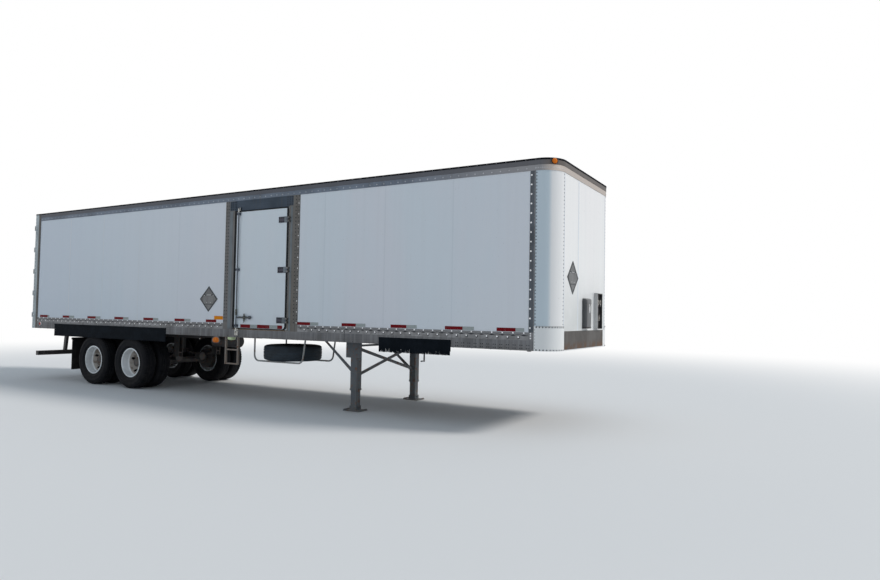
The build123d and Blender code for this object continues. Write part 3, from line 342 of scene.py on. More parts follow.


# The doors' white is bluer and darker than the front's as well: painted shade.
finishes["white_paint"] = white_wall("Door white", (0.74, 0.785, 0.82))
for key, label, axis, face, inward in wall_slots:
    if axis == "y":
        skin = white_wall(label, side_white_painted_shade)
        # Painted bluish shade over the side walls, growing from x = 0.5 m towards the rear.
        skin.over(skin.part(skin.band("x", 0.5, rear), 0.5), (0.50, 0.60, 0.70))
    else:
        skin = white_wall(label, front_white)
        low_film = skin.part(skin.band("z", 2.5, 1.45), skin.mask("Patches", Scale=1.5, Start=0.2, End=0.6))
        skin.over(skin.part(low_film, 0.6), (0.50, 0.52, 0.51))
    finishes[key] = lined(skin, axis, face + inward * skin_depth, face + 2 * inward * skin_depth)
corner = white_wall("Corner white", front_white)
# Painted bluish reflection on the corner panel near its side edge.
corner.over(corner.part(corner.band("y", half - 0.085, half - 0.045, True), 0.62), (0.42, 0.56, 0.65))
finishes["corner_white"] = corner
print("wall finishes:", list(finishes))

# %% [markdown]
# ## Bare metals
#
# The rails, posts and roof are aluminium that has gone dull and dark. A mirror-like metal would only show
# the pale studio, so most of the darkness sits in the base colour and the roughness is high, with the
# drawn grain of an extrusion along its length. A table holds the ones that differ only in values; the
# others get bands of their own, such as the pale front end of the top rail, which is painted light, and
# the lapped strip of the rear posts.


# %% Metal finishes
def extrusion(name, colour, roughness, stretch, grime):
    """Drawn aluminium: grain along its length, dull patches and grime."""
    f = Finish(name, colour, roughness, metallic=0.75, Specular_IOR_Level=0.4)
    f.patches(0.6, tinted(colour, 1.25), Scale=60.0, Stretch=stretch, Start=0.3, End=0.7)
    f.patches(0.6, tinted(colour, 0.7), roughness + 0.15, Scale=2.5, Start=0.4, End=0.7)
    f.patches(grime, (0.09, 0.08, 0.07), 0.8, 0.1, Scale=7.0, Stretch=(3, 3, 0.2), Start=0.5, End=0.75)
    f.bumps(0.0004, 0.3, Scale=120.0, Stretch=stretch, Start=0.2, End=0.8, Detail=2.0)
    return f


along_x, along_z, all_ways = (0.02, 1, 1), (1, 1, 0.02), (1, 1, 1)
plain_metals = {
    # finish: name in the file, colour, roughness, direction of the grain, grime
    "rail_metal": ("Rear frame aluminium", (0.30, 0.31, 0.32), 0.48, along_z, 0.5),
    "top_rail": ("Top rail aluminium", (0.125, 0.155, 0.20), 0.42, along_x, 0.3),
    "bottom_rail": ("Bottom rail aluminium", (0.135, 0.14, 0.15), 0.46, along_x, 0.35),
    "rail_plate": ("Riveted rail plate", (0.225, 0.23, 0.24), 0.44, along_x, 0.4),
    "door_frame": ("Door frame aluminium", (0.135, 0.142, 0.15), 0.5, along_z, 0.4),
    "rear_post": ("Rear post aluminium", (0.295, 0.345, 0.375), 0.46, along_z, 0.3),
    "header_metal": ("Header aluminium", (0.045, 0.063, 0.088), 0.5, along_x, 0.25),
    "corner_strip": ("Corner strip aluminium", (0.085, 0.098, 0.115), 0.52, along_z, 0.5),
    "roof_metal": ("Roof sheet aluminium", (0.52, 0.53, 0.54), 0.45, (0.3, 1, 1), 0.12),
    "sign_metal": ("Sign holder aluminium", (0.055, 0.062, 0.068), 0.5, along_z, 0.6),
    "coupling_metal": ("Cast coupling alloy", (0.40, 0.38, 0.35), 0.55, all_ways, 0.6),
    "stainless": ("Scuff band stainless", (0.080, 0.072, 0.066), 0.42, along_z, 0.4),
    "zinc_steel": ("Zinc plated steel", (0.24, 0.25, 0.26), 0.44, all_ways, 0.5),
    "rod_metal": ("Lock rod steel", (0.085, 0.10, 0.125), 0.42, along_z, 0.4),
    "blue_strip": ("Bluish post strip", (0.125, 0.148, 0.168), 0.42, along_z, 0.25),
    "rivet_metal": ("Rivet aluminium", (0.80, 0.81, 0.83), 0.34, all_ways, 0.15),
    "dark_rivet": ("Dark rivet heads", (0.018, 0.02, 0.026), 0.5, all_ways, 0.3),
    "seam_rivet": ("Seam rivet heads", (0.10, 0.11, 0.13), 0.5, all_ways, 0.3),
    "top_rivet": ("Top rail rivet heads", (0.44, 0.46, 0.49), 0.4, all_ways, 0.3),
    "pale_knuckle": ("Worn knuckle", (0.42, 0.38, 0.35), 0.42, all_ways, 0.7),
    "strap_dark": ("Dark strap plate", (0.062, 0.062, 0.080), 0.45, all_ways, 0.3),
    # Bright metal for the sign clips, and for the painted highlight on the papers canister.
    "bright_clips_and_highlight": ("Bright clips and painted highlight", (0.72, 0.73, 0.74), 0.3, all_ways, 0.2),
    "blank_plate": ("Blank sign plate", (0.155, 0.16, 0.165), 0.42, all_ways, 0.8),
    "lamp_housing": ("Lamp housing", (0.16, 0.15, 0.145), 0.45, all_ways, 0.5),
}
for key, values in plain_metals.items():
    finishes[key] = extrusion(*values)

f = finishes["top_rail"]
smooth_band = f.band("z", top_rail_low + 0.076, top_rail_low + 0.080)
# Painted light: the rail is painted paler towards the front end and palest round the corner, where it turns
# towards the lamp; its smooth band is painted a little lighter there too.
f.over(f.part(f.band("x", middle + 3.5, corner_x), 0.8), (0.25, 0.25, 0.26), 0.45)
round_the_front = f.band("x", corner_x + 0.05, corner_x + 0.25)
f.over(f.part(round_the_front, 0.85), (0.50, 0.44, 0.395), 0.5)
f.over(f.part(smooth_band, 0.85), (0.085, 0.088, 0.10), 0.5)
f.over(f.part(f.part(smooth_band, round_the_front), 0.8), (0.105, 0.092, 0.085), 0.5)

f = finishes["bottom_rail"]
# Pale vertical streaks down the rail: painted reflection. Darker streaks follow.
f.patches(0.4, (0.23, 0.24, 0.26), 0.4, Scale=8.0, Stretch=(3, 1, 0.12), Start=0.46, End=0.66)
f.patches(0.3, (0.07, 0.068, 0.066), 0.6, Scale=15.0, Stretch=(3, 1, 0.1), Start=0.55, End=0.7)
f.over(f.part(f.band("z", band_top - 0.002, band_top + 0.002), 0.8), (0.19, 0.195, 0.205), 0.5)
f.dirt(0.3, (0.13, 0.115, 0.10), 0.8, 0.1, Clean_height=1.30, Dirty_height=1.12)
f.over(f.band("x", corner_x - 0.001, corner_x + 0.001), front_white, 0.38, 0.0)

finishes["rail_plate"].patches(0.45, (0.10, 0.10, 0.10), 0.65, Scale=11.0, Start=0.45, End=0.62)

f = finishes["door_frame"]
f.patches(0.45, (0.135, 0.12, 0.105), 0.55, Scale=2.6, Stretch=(4, 1, 0.25), Start=0.45, End=0.62)
f.over(f.part(f.band("x", door_x1 - 0.01, door_x1 + 0.01), 0.55), (0.125, 0.118, 0.106), 0.55)

f = finishes["rear_post"]
lapped = f.band("x", high("rear_posts", "x") - 0.078, high("rear_posts", "x") - 0.070)
f.over(f.part(lapped, 0.9), (0.10, 0.088, 0.075), 0.6, 0.4)

f = finishes["stainless"]
f.patches(0.5, (0.07, 0.044, 0.03), 0.7, 0.2, Scale=3.5, Stretch=(3, 3, 0.35), Start=0.5, End=0.75)
foot_rust = f.part(f.band("z", 1.30, 1.17), f.mask("Patches", Scale=7.0, Start=0.36, End=0.56))
f.over(f.part(foot_rust, 0.8), (0.13, 0.07, 0.04), 0.8, 0.1)

finishes["zinc_steel"].patches(0.6, (0.25, 0.12, 0.05), 0.85, 0.1, Scale=26.0, Start=0.58, End=0.72)
print("metal finishes:", len(finishes))

# %% [markdown]
# The folded edge of the roof is nearly black in the photograph, with next to no shine. As a metal it
# would mirror the pale backdrop, so it's a dark coat instead, with its specular level turned almost off.

# %% Roof edge
f = finishes["roof_rim"] = Finish("Roof edge black", (0.004, 0.005, 0.008), 0.75, Specular_IOR_Level=0.05)
f.patches(0.5, (0.014, 0.016, 0.020), 0.8, Scale=6.0, Start=0.45, End=0.7)
f.bumps(0.0004, 0.3, Scale=120.0, Stretch=along_x, Start=0.3, End=0.7)

# %% [markdown]
# ## Paint over steel, near the road
#
# Frame, legs, axles and guard are painted steel. Paint there goes the same way everywhere: rubbed off the
# edges, rust through the chips and in spots, pale road dust over the lot. One function takes the paint's
# colour and how far gone it is. The landing legs in particular show a blue-grey worn coat. The wheel
# discs are darker deep inside the rim, where a band by depth turns the white beige: dirt, with painted
# shade of the recess.


# %% Painted steel finishes
def painted_steel(name, colour, rust, dust, roughness=0.5):
    """Paint with rubbed edges, rust spots and road dust."""
    f = Finish(name, colour, roughness)
    f.patches(0.6, tinted(colour, 1.5), roughness + 0.12, Scale=3.0, Start=0.35, End=0.75)
    f.patches(rust, (0.17, 0.065, 0.025), 0.9, Scale=16.0, Start=0.56, End=0.68)
    f.patches(rust, (0.30, 0.12, 0.045), 0.9, Scale=45.0, Start=0.6, End=0.7)
    f.over(f.part(f.mask("Rubbed edges"), 0.85), (0.20, 0.15, 0.11), 0.6, 0.4)
    f.over(f.part(f.mask("Settled dust"), dust), (0.30, 0.27, 0.23), 0.95)
    f.dirt(dust, (0.25, 0.22, 0.19), 0.95, Clean_height=1.2, Dirty_height=0.1)
    f.bumps(0.0008, 0.4, Scale=50.0, Start=0.4, End=0.7)
    return f


paints = {
    # finish: name in the file, colour, rust, dust, roughness
    "chassis_paint": ("Chassis paint", (0.040, 0.040, 0.042), 0.5, 0.35, 0.5),
    "black_paint": ("Black paint", (0.022, 0.022, 0.024), 0.15, 0.2, 0.42),
    "leg_paint": ("Landing leg paint", (0.085, 0.10, 0.115), 0.8, 0.35, 0.5),
    "hoop_paint": ("Carrier tube grey", (0.30, 0.305, 0.30), 0.8, 0.2, 0.42),
    "ladder_steel": ("Rusty ladder steel", (0.20, 0.165, 0.14), 0.95, 0.1, 0.5),
    "spring_steel": ("Spring steel", (0.045, 0.04, 0.038), 0.8, 0.3, 0.5),
    "drum_iron": ("Hub and drum iron", (0.05, 0.047, 0.045), 0.9, 0.25, 0.55),
    "wheel_paint": ("Wheel white", (0.86, 0.87, 0.87), 0.10, 0.08, 0.34),
    "box_grey": ("Nose box grey", (0.46, 0.46, 0.455), 0.12, 0.12, 0.38),
    "papers_grey": ("Papers box grey", (0.046, 0.050, 0.055), 0.0, 0.06, 0.3),
    "lock_olive": ("Worn olive handle", (0.045, 0.05, 0.042), 0.35, 0.1, 0.5),
    "pale_cam": ("Pale worn cam", (0.66, 0.62, 0.56), 0.3, 0.08, 0.45),
    # A dark finish for the inside of the coupling box and the canister's foot: painted shade.
    "painted_shade_inside": ("Box inside painted shade", (0.014, 0.014, 0.017), 0.1, 0.05, 0.6),
    "gladhand_black": ("Coupling black", (0.012, 0.012, 0.014), 0.3, 0.1, 0.45),
}
for key, values in paints.items():
    finishes[key] = painted_steel(*values)

belly_half, twin_gap = 0.1395, 0.343
f = finishes["wheel_paint"]
outer_disc = half - belly_half - 0.168
inside_face = f.band("y", outer_disc + 0.125, outer_disc + 0.105, True)
behind_disc = f.band("y", outer_disc - 0.05, outer_disc - 0.04, True)
deep_in_rim = f.part(inside_face, behind_disc)
# Deep inside the rim: dirt, with painted shade of the recess.
f.over(f.part(deep_in_rim, 0.95), (0.44, 0.39, 0.345), 0.55)
rim_rust = f.part(f.mask("Patches", Scale=9.0, Start=0.48, End=0.62), deep_in_rim)
f.over(f.part(rim_rust, 0.7), (0.15, 0.115, 0.09), 0.75)

f = finishes["kingpin_steel"] = Finish("Greased kingpin steel", (0.28, 0.27, 0.26), 0.3, metallic=0.9)
f.over(f.mask("Patches", Scale=30.0, Start=0.4, End=0.6), (0.02, 0.017, 0.014), 0.2, 0.0)
print("finishes:", len(finishes))

# %% [markdown]
# ## Rubber, brush, wood and lenses
#
# In this low light the tyres are nearly black, with only a trace of brown bloom; the spare under its frame
# is the same rubber painted greyer and bluer as sky light, with more bloom and dust. The floor is
# laminated hardwood, boards about 30 cm wide laid along the trailer. Lenses are clear-coated plastic with
# fine ribs.


# %% Soft and glossy finishes
def rubber(name, colour, roughness, bloom=1.0):
    """Rubber with a brown bloom and road dust, as much of both as bloom says."""
    f = Finish(name, colour, roughness, Specular_IOR_Level=0.14)
    f.patches(0.5 * bloom, (0.030, 0.027, 0.025), roughness + 0.1, Scale=7.0, Start=0.35, End=0.75)
    f.over(f.part(f.mask("Settled dust", Scale=9.0), 0.25 * bloom), (0.15, 0.14, 0.13), 0.95)
    f.dirt(0.2 * bloom, (0.12, 0.11, 0.10), 0.95, Clean_height=0.9, Dirty_height=-0.1, Scale=14.0)
    f.bumps(0.0005, 0.4, Scale=160.0, Start=0.3, End=0.7)
    return f


def lens(name, colour, deep):
    """Clear-coated plastic with fine ribs and a deeper colour behind."""
    f = Finish(name, colour, 0.35, Coat_Weight=0.12, Coat_Roughness=0.08, Specular_IOR_Level=0.15)
    ribs = f.mask("Patches", Scale=110.0, Stretch=(1, 1, 0.15), Start=0.4, End=0.6, Detail=0.0)
    f.over(f.part(ribs, 0.6), deep, 0.3)
    f.patches(0.15, (0.2, 0.15, 0.12), 0.6, Scale=12.0, Start=0.5, End=0.7)
    f.relief(ribs, 0.0006, 0.5)
    return f


finishes["tyre_rubber"] = rubber("Tyre rubber", (0.006, 0.0068, 0.0095), 0.74, 0.45)
# The spare's greyer, bluer base is painted sky light; its bloom and dust are real.
finishes["spare_rubber"] = rubber("Spare tyre rubber", (0.045, 0.058, 0.072), 0.6)
finishes["flap_rubber"] = rubber("Mudflap rubber", (0.012, 0.012, 0.013), 0.65)
finishes["seal_rubber"] = rubber("Seal rubber", (0.009, 0.010, 0.012), 0.6)
finishes["amber_lens"] = lens("Amber lens", (0.80, 0.20, 0.004), (0.50, 0.09, 0.002))
finishes["lime_lens"] = lens("Pale lime lens", (0.84, 0.93, 0.62), (0.60, 0.82, 0.34))
finishes["red_lens"] = lens("Red lens", (0.55, 0.02, 0.02), (0.26, 0.008, 0.01))

f = finishes["brush_black"] = Finish("Brush black", (0.004, 0.0065, 0.010), 0.65, Specular_IOR_Level=0.05)
f.patches(0.6, (0.011, 0.015, 0.021), 0.7, Scale=5.0, Start=0.4, End=0.7)
f.over(f.part(f.mask("Settled dust"), 0.1), (0.06, 0.06, 0.06), 0.9)
f.bumps(0.002, 0.6, Scale=90.0, Stretch=(1, 1, 0.03), Start=0.35, End=0.65)

f = finishes["floor_wood"] = Finish("Floor hardwood", (0.30, 0.19, 0.10), 0.55)
grain = f.mask("Patches", Scale=30.0, Stretch=(0.04, 1, 1), Start=0.35, End=0.7)
f.over(f.part(grain, 0.7), (0.18, 0.10, 0.05), 0.62)
f.patches(0.5, (0.40, 0.27, 0.15), 0.5, Scale=9.0, Stretch=(0.05, 4, 1), Start=0.48, End=0.52, Detail=0.0)
f.patches(0.5, (0.12, 0.10, 0.08), 0.8, Scale=2.0, Start=0.45, End=0.75)
f.relief(grain, 0.0006, 0.4)
print("finishes:", len(finishes))

# %% [markdown]
# ## Every solid takes its finish
#
# The record names a finish slot for each solid. Where one slot covers solids that look different on the
# real trailer, such as the rails, the roof edge and the dark posts beside the door, a short table names
# the finish for that solid.

# %% Give the solids their finishes
own_finish = {
    "side_panels_left": "wall_left",
    "side_panels_right": "wall_right",
    "front_wall": "wall_front",
    "front_corners": "corner_white",
    "top_rails": "top_rail",
    "bottom_rails": "bottom_rail",
    "side_door_posts": "door_frame",
    "side_door_header": "header_metal",
    "corner_strips": "corner_strip",
    "roof_edge": "roof_rim",
    "rear_posts": "rear_post",
    "spare_carrier": "hoop_paint",
    "side_ladder": "ladder_steel",
    "side_door_lock": "rod_metal",
}
for name, solid in nodes.items():
    solid.data.materials.clear()
    solid.data.materials.append(finishes[own_finish.get(name, slot_of[name])].material)
print("solids finished:", len(nodes))


# %% [markdown]
# ## Tools for the meshes
#
# Every piece below is drawn into a bmesh: bars with softened edges, domed rivet heads, turned and bent
# shapes. A piece then becomes one object, rides on a body of the trailer, and takes a finish. Rivets
# share one mesh per piece, because thousands of separate objects would be slow to load and dull to edit.


# %% Make a piece from a bmesh
def piece(name, body, finish, draw, crease=35, stands_for=()):
    """Draws a mesh, gives it a finish and sets it on a body; the solids it stands for are hidden."""
    bm = bmesh.new()
    draw(bm)
    bmesh.ops.recalc_face_normals(bm, faces=bm.faces)
    data = bpy.data.meshes.new(name)
    bm.to_mesh(data)
    bm.free()
    for face in data.polygons:
        face.use_smooth = True
    data.set_sharp_from_angle(angle=math.radians(crease))
    data.materials.append(finishes[finish].material)
    made = bpy.data.objects.new(name, data)
    bpy.context.scene.collection.objects.link(made)
    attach(made, body)
    if stands_for:
        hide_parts(*stands_for)
    print(name, "triangles:", sum(len(face.vertices) - 2 for face in data.polygons))
    return made


def frame_about(axis):
    """Two directions at right angles to an axis and to each other."""
    axis = Vector(axis).normalized()
    first = axis.orthogonal().normalized()
    return axis, first, axis.cross(first)


def bar(bm, x0, x1, y0, y1, z0, z1, soft=0.0):
    """A straight bar between two corners, its edges softened."""
    made = bmesh.ops.create_cube(bm, size=1.0)["verts"]
    place = Matrix.Translation(((x0 + x1) / 2, (y0 + y1) / 2, (z0 + z1) / 2))
    size = Matrix.Diagonal((abs(x1 - x0), abs(y1 - y0), abs(z1 - z0), 1))
    bmesh.ops.transform(bm, matrix=place @ size, verts=made)
    if soft:
        edges = list({edge for corner in made for edge in corner.link_edges})
        bmesh.ops.bevel(bm, geom=edges, offset=soft, segments=1, affect="EDGES")


def spokes(first, second, sides):
    """Directions all round an axis, given two that are square to it."""
    turns = [2 * math.pi * i / sides for i in range(sides)]
    return [math.cos(t) * first + math.sin(t) * second for t in turns]


def skin_over(bm, rings):
    """Joins each ring of points to the next one, all the way round."""
    for lower, upper in zip(rings, rings[1:]):
        for i in range(len(lower)):
            k = (i + 1) % len(lower)
            bm.faces.new((lower[i], lower[k], upper[k], upper[i]))


def rivet(bm, place, axis, radius, height, sides=8):
    """A low domed head that stands on a surface."""
    axis, first, second = frame_about(axis)
    rings = []
    for share, lift in ((1.0, 0.0), (0.92, 0.45), (0.6, 0.85)):
        foot = Vector(place) + axis * height * lift
        rings.append([bm.verts.new(foot + s * radius * share) for s in spokes(first, second, sides)])
    crown = bm.verts.new(Vector(place) + axis * height)
    skin_over(bm, rings)
    for i in range(sides):
        bm.faces.new((rings[-1][i], rings[-1][(i + 1) % sides], crown))


def hex_bolt(bm, place, axis, radius, height):
    """A hexagon head on its washer."""
    axis, first, second = frame_about(axis)
    for share, start, end in ((1.35, 0.0, 0.25), (1.0, 0.25, 1.0)):
        sides = 12 if share > 1 else 6
        rings = []
        for lift in (start, end):
            foot = Vector(place) + axis * height * lift
            rings.append([bm.verts.new(foot + s * radius * share) for s in spokes(first, second, sides)])
        skin_over(bm, rings)
        bm.faces.new(rings[1])


def join_sections(bm, rings, closed=True):
    """Joins the sections of a turned shape, the last one to the first."""
    count = len(rings[0])
    for here, there in zip(rings, rings[1:] + rings[:1]):
        for j in range(count if closed else count - 1):
            k = (j + 1) % count
            bm.faces.new((here[j], there[j], there[k], here[k]))


def lathe(bm, profile, centre, axis, segments, closed=True):
    """Turns a profile of (radius, distance along the axis) about the axis through the centre."""
    axis, first, second = frame_about(axis)
    rings = []
    for spoke in spokes(first, second, segments):
        rings.append([bm.verts.new(Vector(centre) + spoke * r + axis * d) for r, d in profile])
    join_sections(bm, rings, closed)


def pipe(bm, points, radius, sides=10):
    """A bent pipe or rod through the points, closed at both ends."""
    points = [Vector(p) for p in points]
    rings = []
    side = None
    for i, point in enumerate(points):
        ahead_of = (points[min(i + 1, len(points) - 1)] - points[max(i - 1, 0)]).normalized()
        side = ahead_of.orthogonal() if side is None else side - ahead_of * side.dot(ahead_of)
        side.normalize()
        across_it = ahead_of.cross(side)
        turns = [2 * math.pi * k / sides for k in range(sides)]
        rings.append(
            [bm.verts.new(point + (math.cos(t) * side + math.sin(t) * across_it) * radius) for t in turns]
        )
    skin_over(bm, rings)
    bm.faces.new(rings[0])
    bm.faces.new(rings[-1])


def frame_outline(x0, x1, z0, z1, rounds, steps=5):
    """A rectangle's outline with a radius for each corner, from the upper right one leftwards and round."""
    outline = []
    ends = ((x1, z1, 0), (x0, z1, 90), (x0, z0, 180), (x1, z0, 270))
    for (cx, cz, start), radius in zip(ends, rounds):
        mx, mz = cx + (-radius if cx == x1 else radius), cz + (-radius if cz == z1 else radius)
        for i in range(steps + 1):
            turn = math.radians(start + 90 * i / steps)
            outline.append((mx + radius * math.cos(turn), mz + radius * math.sin(turn)))
    return outline


def seal(bm, outer, inner, start, end, point=lambda x, z, y: (x, y, z)):
    """A flat seal between two outlines of as many points each; point turns it to another plane."""
    loops = [[bm.verts.new(point(*p, depth)) for p in o] for o in (outer, inner) for depth in (start, end)]
    back_out, face_out, back_in, face_in = loops
    count = len(outer)
    for i in range(count):
        k = (i + 1) % count
        bm.faces.new((face_out[i], face_out[k], face_in[k], face_in[i]))
        bm.faces.new((back_out[i], back_out[k], face_out[k], face_out[i]))
        bm.faces.new((back_in[i], face_in[i], face_in[k], back_in[k]))


def evenly(first, last, pitch):
    """Places from first to last, evenly spaced at about the pitch."""
    count = max(1, round((last - first) / pitch))
    return [first + (last - first) * i / count for i in range(count + 1)]


def on_corner(side, turn, z=0.0, out=0.0):
    """A point on one round front corner at a turn in degrees from +X, and the direction out of it."""
    normal = Vector((math.cos(math.radians(turn)), side * math.sin(math.radians(turn)), 0))
    radius = half - flat_y
    return Vector((front - radius, side * flat_y, z)) + normal * (radius + out), normal


print("mesh tools ready")

# %% [markdown]
# ## Rivets and bolts of the body
#
# A riveted aluminium trailer is drawn by its rivets. The bottom rail carries a separate plate with a wavy
# upper edge, a head under each crest and another in each dip. The top rail has one row under its smooth
# band, fine dotted seams run up the round front corners, and big pale heads stand down the dark strip
# behind each corner. A bump pattern could stand in for them, but real domes catch the light from any
# side, and at eight sides each they are cheap.

# %% The wave of the rail plates
wave_pitch = 0.1625
wave_x = middle + 2.922


def clear_of_door(x, side, margin=0.03):
    """Tells whether a place along a side is clear of the side door's frame."""
    return side > 0 or x < frame_x0 - margin or x > frame_x1 + margin


# %% The bottom rail's riveted plate
def wave_height(x):
    """The height of the plate's wavy upper edge: its crests stand over the lower heads."""
    return rail_bottom + 0.208 + 0.009 * math.cos(2 * math.pi * (x - wave_x) / wave_pitch)


def wave_shadow_and_dirt(x):
    """How high the painted shadow and dirt lie over the edge: a thin line at the crests, a small pool in
    each dip.
    """
    return 0.005 + 0.013 * (0.5 - 0.5 * math.cos(2 * math.pi * (x - wave_x) / wave_pitch)) ** 4


def wavy_strip(bm, foot, rise):
    """A thin strip along each rail between two heights that change along it."""
    step = wave_pitch / 12
    for side in (-1, 1):
        back, face = side * (half - 0.003), side * (half - 0.0014)
        x = rear + 0.205
        before = None
        while x < strip_x:
            if clear_of_door(x, side, 0.0):
                crest = wave_height(x)
                ends = [(face, foot(x)), (face, crest + rise(x)), (back, crest + rise(x)), (back, foot(x))]
                ring = [bm.verts.new((x, y, z)) for y, z in ends]
                if before:
                    skin_over(bm, [before, ring])
                before = ring
            else:
                before = None
            x += step


def plates(bm):
    """The wavy plates themselves."""
    wavy_strip(bm, lambda x: band_top + 0.002, lambda x: 0.0)


def plate_shadow_and_dirt(bm):
    """The dark line along their upper edge: painted shadow and dirt."""
    wavy_strip(bm, wave_height, wave_shadow_and_dirt)


piece("rail_wavy_plates", "van", "rail_plate", plates, 60)
# A dark strip over each plate's wavy edge: painted shadow, with dirt.
piece("rail_wave_shadow_and_dirt", "van", "dark_rivet", plate_shadow_and_dirt, 60)


# %% Heads on the rails
wave_places = [wave_x + i * wave_pitch for i in range(-56, 20)]


def rail_rivets(bm):
    """Heads under the crests of the wavy plate and over its dips."""
    face = half - 0.0014
    for side in (-1, 1):
        for crest_x in wave_places:
            for x, height, size in ((crest_x + wave_pitch / 2, 0.240, 0.0125), (crest_x, 0.182, 0.0135)):
                if clear_of_door(x, side) and rear + 0.22 < x < strip_x - 0.01:
                    rivet(bm, (x, side * face, rail_bottom + height), (0, side, 0), size, 0.0045)


def coupler_rivets(bm):
    """A dark ring of painted shade under each lower head, close rows for the coupler's members, a sparse
    row at the foot.
    """
    for side in (-1, 1):
        for x in wave_places:
            if clear_of_door(x, side) and rear + 0.22 < x < strip_x - 0.02:
                # Painted shade: a dark ring under each lower head, set a little off to one side.
                rivet(
                    bm, (x + 0.004, side * (half - 0.0014), rail_bottom + 0.178), (0, side, 0),
                    0.020, 0.0012,
                )
        for x in evenly(middle + 4.86, corner_x - 0.10, 0.105):
            for dx, height in ((0, 0.028), (0.03, 0.028), (0, 0.072), (0.03, 0.072)):
                rivet(bm, (x + dx, side * half, rail_bottom + height), (0, side, 0), 0.0085, 0.003, 6)
        for x in evenly(rear + 0.26, middle + 4.8, 0.26):
            rivet(bm, (x, side * half, rail_bottom + 0.022), (0, side, 0), 0.006, 0.003, 6)


def rail_joints(bm):
    """The narrow dark gaps where two lengths of rail meet."""
    for side in (-1, 1):
        for x in (middle + 2.803, middle - 4.40):
            bar(
                bm, x - 0.005, x + 0.005, side * half, side * (half - 0.001), rail_bottom + 0.004,
                band_top - 0.002,
            )
            if clear_of_door(x, side):
                face = side * (half - 0.0014)
                bar(
                    bm, x - 0.006, x + 0.006, face, face + side * 0.0006, band_top + 0.004,
                    rail_bottom + 0.200,
                )


piece("bottom_rail_rivets", "van", "rivet_metal", rail_rivets)
piece("coupler_row_rivets", "van", "dark_rivet", coupler_rivets)
piece("rail_joint_gaps", "van", "seal_rubber", rail_joints)


def top_rail_rivets(bm):
    """One row on the top rail's lower band, right round the front."""
    height = top_rail_low + 0.034
    for side in (-1, 1):
        for x in evenly(rear + 0.25, corner_x, 0.135):
            rivet(bm, (x, side * (half - 0.003), height), (0, side, 0), 0.0095, 0.0045)
        for turn in evenly(6, 88, 6.0):
            rivet(bm, *on_corner(side, turn, height, -0.003), 0.007, 0.003)
    for y in evenly(-flat_y, flat_y, 0.135):
        rivet(bm, (front - 0.003, y, height), (1, 0, 0), 0.007, 0.003)


piece("top_rail_rivets", "van", "top_rivet", top_rail_rivets)


# %% Corner seams and strips
seam_z = rail_bottom + 0.340


def corner_rivets(bm):
    """Dotted seams on both edges of each corner panel."""
    for side in (-1, 1):
        for z in evenly(seam_z + 0.03, top_rail_low - 0.03, 0.046):
            rivet(bm, (corner_x + 0.013, side * wall_y, z), (0, side, 0), 0.009, 0.0035)
        for z in evenly(seam_z + 0.03, top_rail_low - 0.03, 0.052):
            rivet(bm, *on_corner(side, 4.0, z, -0.009), 0.009, 0.0035)


def corner_dots(bm):
    """Dark heads along each corner band's upper edge and its foot."""
    for side in (-1, 1):
        for height, pitch in ((seam_z - 0.014, 8.6), (rail_bottom + 0.016, 9.0)):
            for turn in evenly(4, 88, pitch):
                rivet(bm, *on_corner(side, turn, height), 0.0105, 0.003)
        for height in evenly(rail_bottom + 0.04, seam_z - 0.05, 0.045):
            rivet(bm, (corner_x + 0.012, side * half, height), (0, side, 0), 0.0055, 0.0025, 6)


def corner_seams(bm):
    """The thin dark line of sealant over each corner band."""
    z = seam_z - 0.002
    for side in (-1, 1):
        strip = []
        for turn in evenly(0, 90, 4.0):
            point, normal = on_corner(side, turn)
            corners = ((0.0, z), (0.0006, z), (0.0006, z + 0.0035), (0.0, z + 0.0035))
            places = [point + normal * t + Vector((0, 0, height)) for t, height in corners]
            strip.append([bm.verts.new(place) for place in places])
        skin_over(bm, strip)


def strip_bolts(bm):
    """Large pale heads down each dark strip."""
    for side in (-1, 1):
        for z in evenly(1.46, top_rail_low - 0.06, 0.132):
            rivet(bm, (strip_x + 0.02, side * (half - 0.003), z), (0, side, 0), 0.0135, 0.007, 12)
        for z in (rail_bottom + 0.17, rail_bottom + 0.205, rail_bottom + 0.235):
            rivet(bm, (strip_x + 0.03, side * (half - 0.003), z), (0, side, 0), 0.011, 0.006, 10)


def strip_edges(bm):
    """The bright folded edge that each dark strip turns towards the corner panel."""
    for side in (-1, 1):
        y0, y1 = side * (half - 0.003), side * (half - 0.0012)
        bar(bm, corner_x - 0.012, corner_x - 0.004, y0, y1, rail_top + 0.004, top_rail_low - 0.004, 0.0008)


piece("corner_seam_rivets", "van", "seam_rivet", corner_rivets)
piece("corner_band_dots", "van", "dark_rivet", corner_dots)
piece("corner_band_seams", "van", "seal_rubber", corner_seams)
piece("corner_strip_bolts", "van", "rivet_metal", strip_bolts)
piece("corner_strip_edges", "van", "rail_plate", strip_edges)

# %% [markdown]
# ## Sheet joints on the walls, the front and the roof
#
# The walls look like one sheet from afar, yet each sheet's edge shows as a faint upright line. A flat,
# slightly duller strip of sealant, a millimetre proud, is all that it takes. The front wall has one joint
# with a column of rivets beside it, and the roof sheet is lapped across every second bow.

# %% Joint strips
finishes["sealed_joint"] = white_wall("Sealed joint", (0.70, 0.735, 0.775))


def wall_joints(bm):
    """Faint upright joints on both side walls."""
    for side in (-1, 1):
        for x in evenly(rear + 0.2, strip_x, 1.22)[1:-1]:
            if clear_of_door(x, side, 0.1):
                bar(
                    bm, x - 0.011, x + 0.011, side * wall_y, side * (wall_y + 0.0012),
                    rail_top + 0.002, top_rail_low - 0.002,
                )


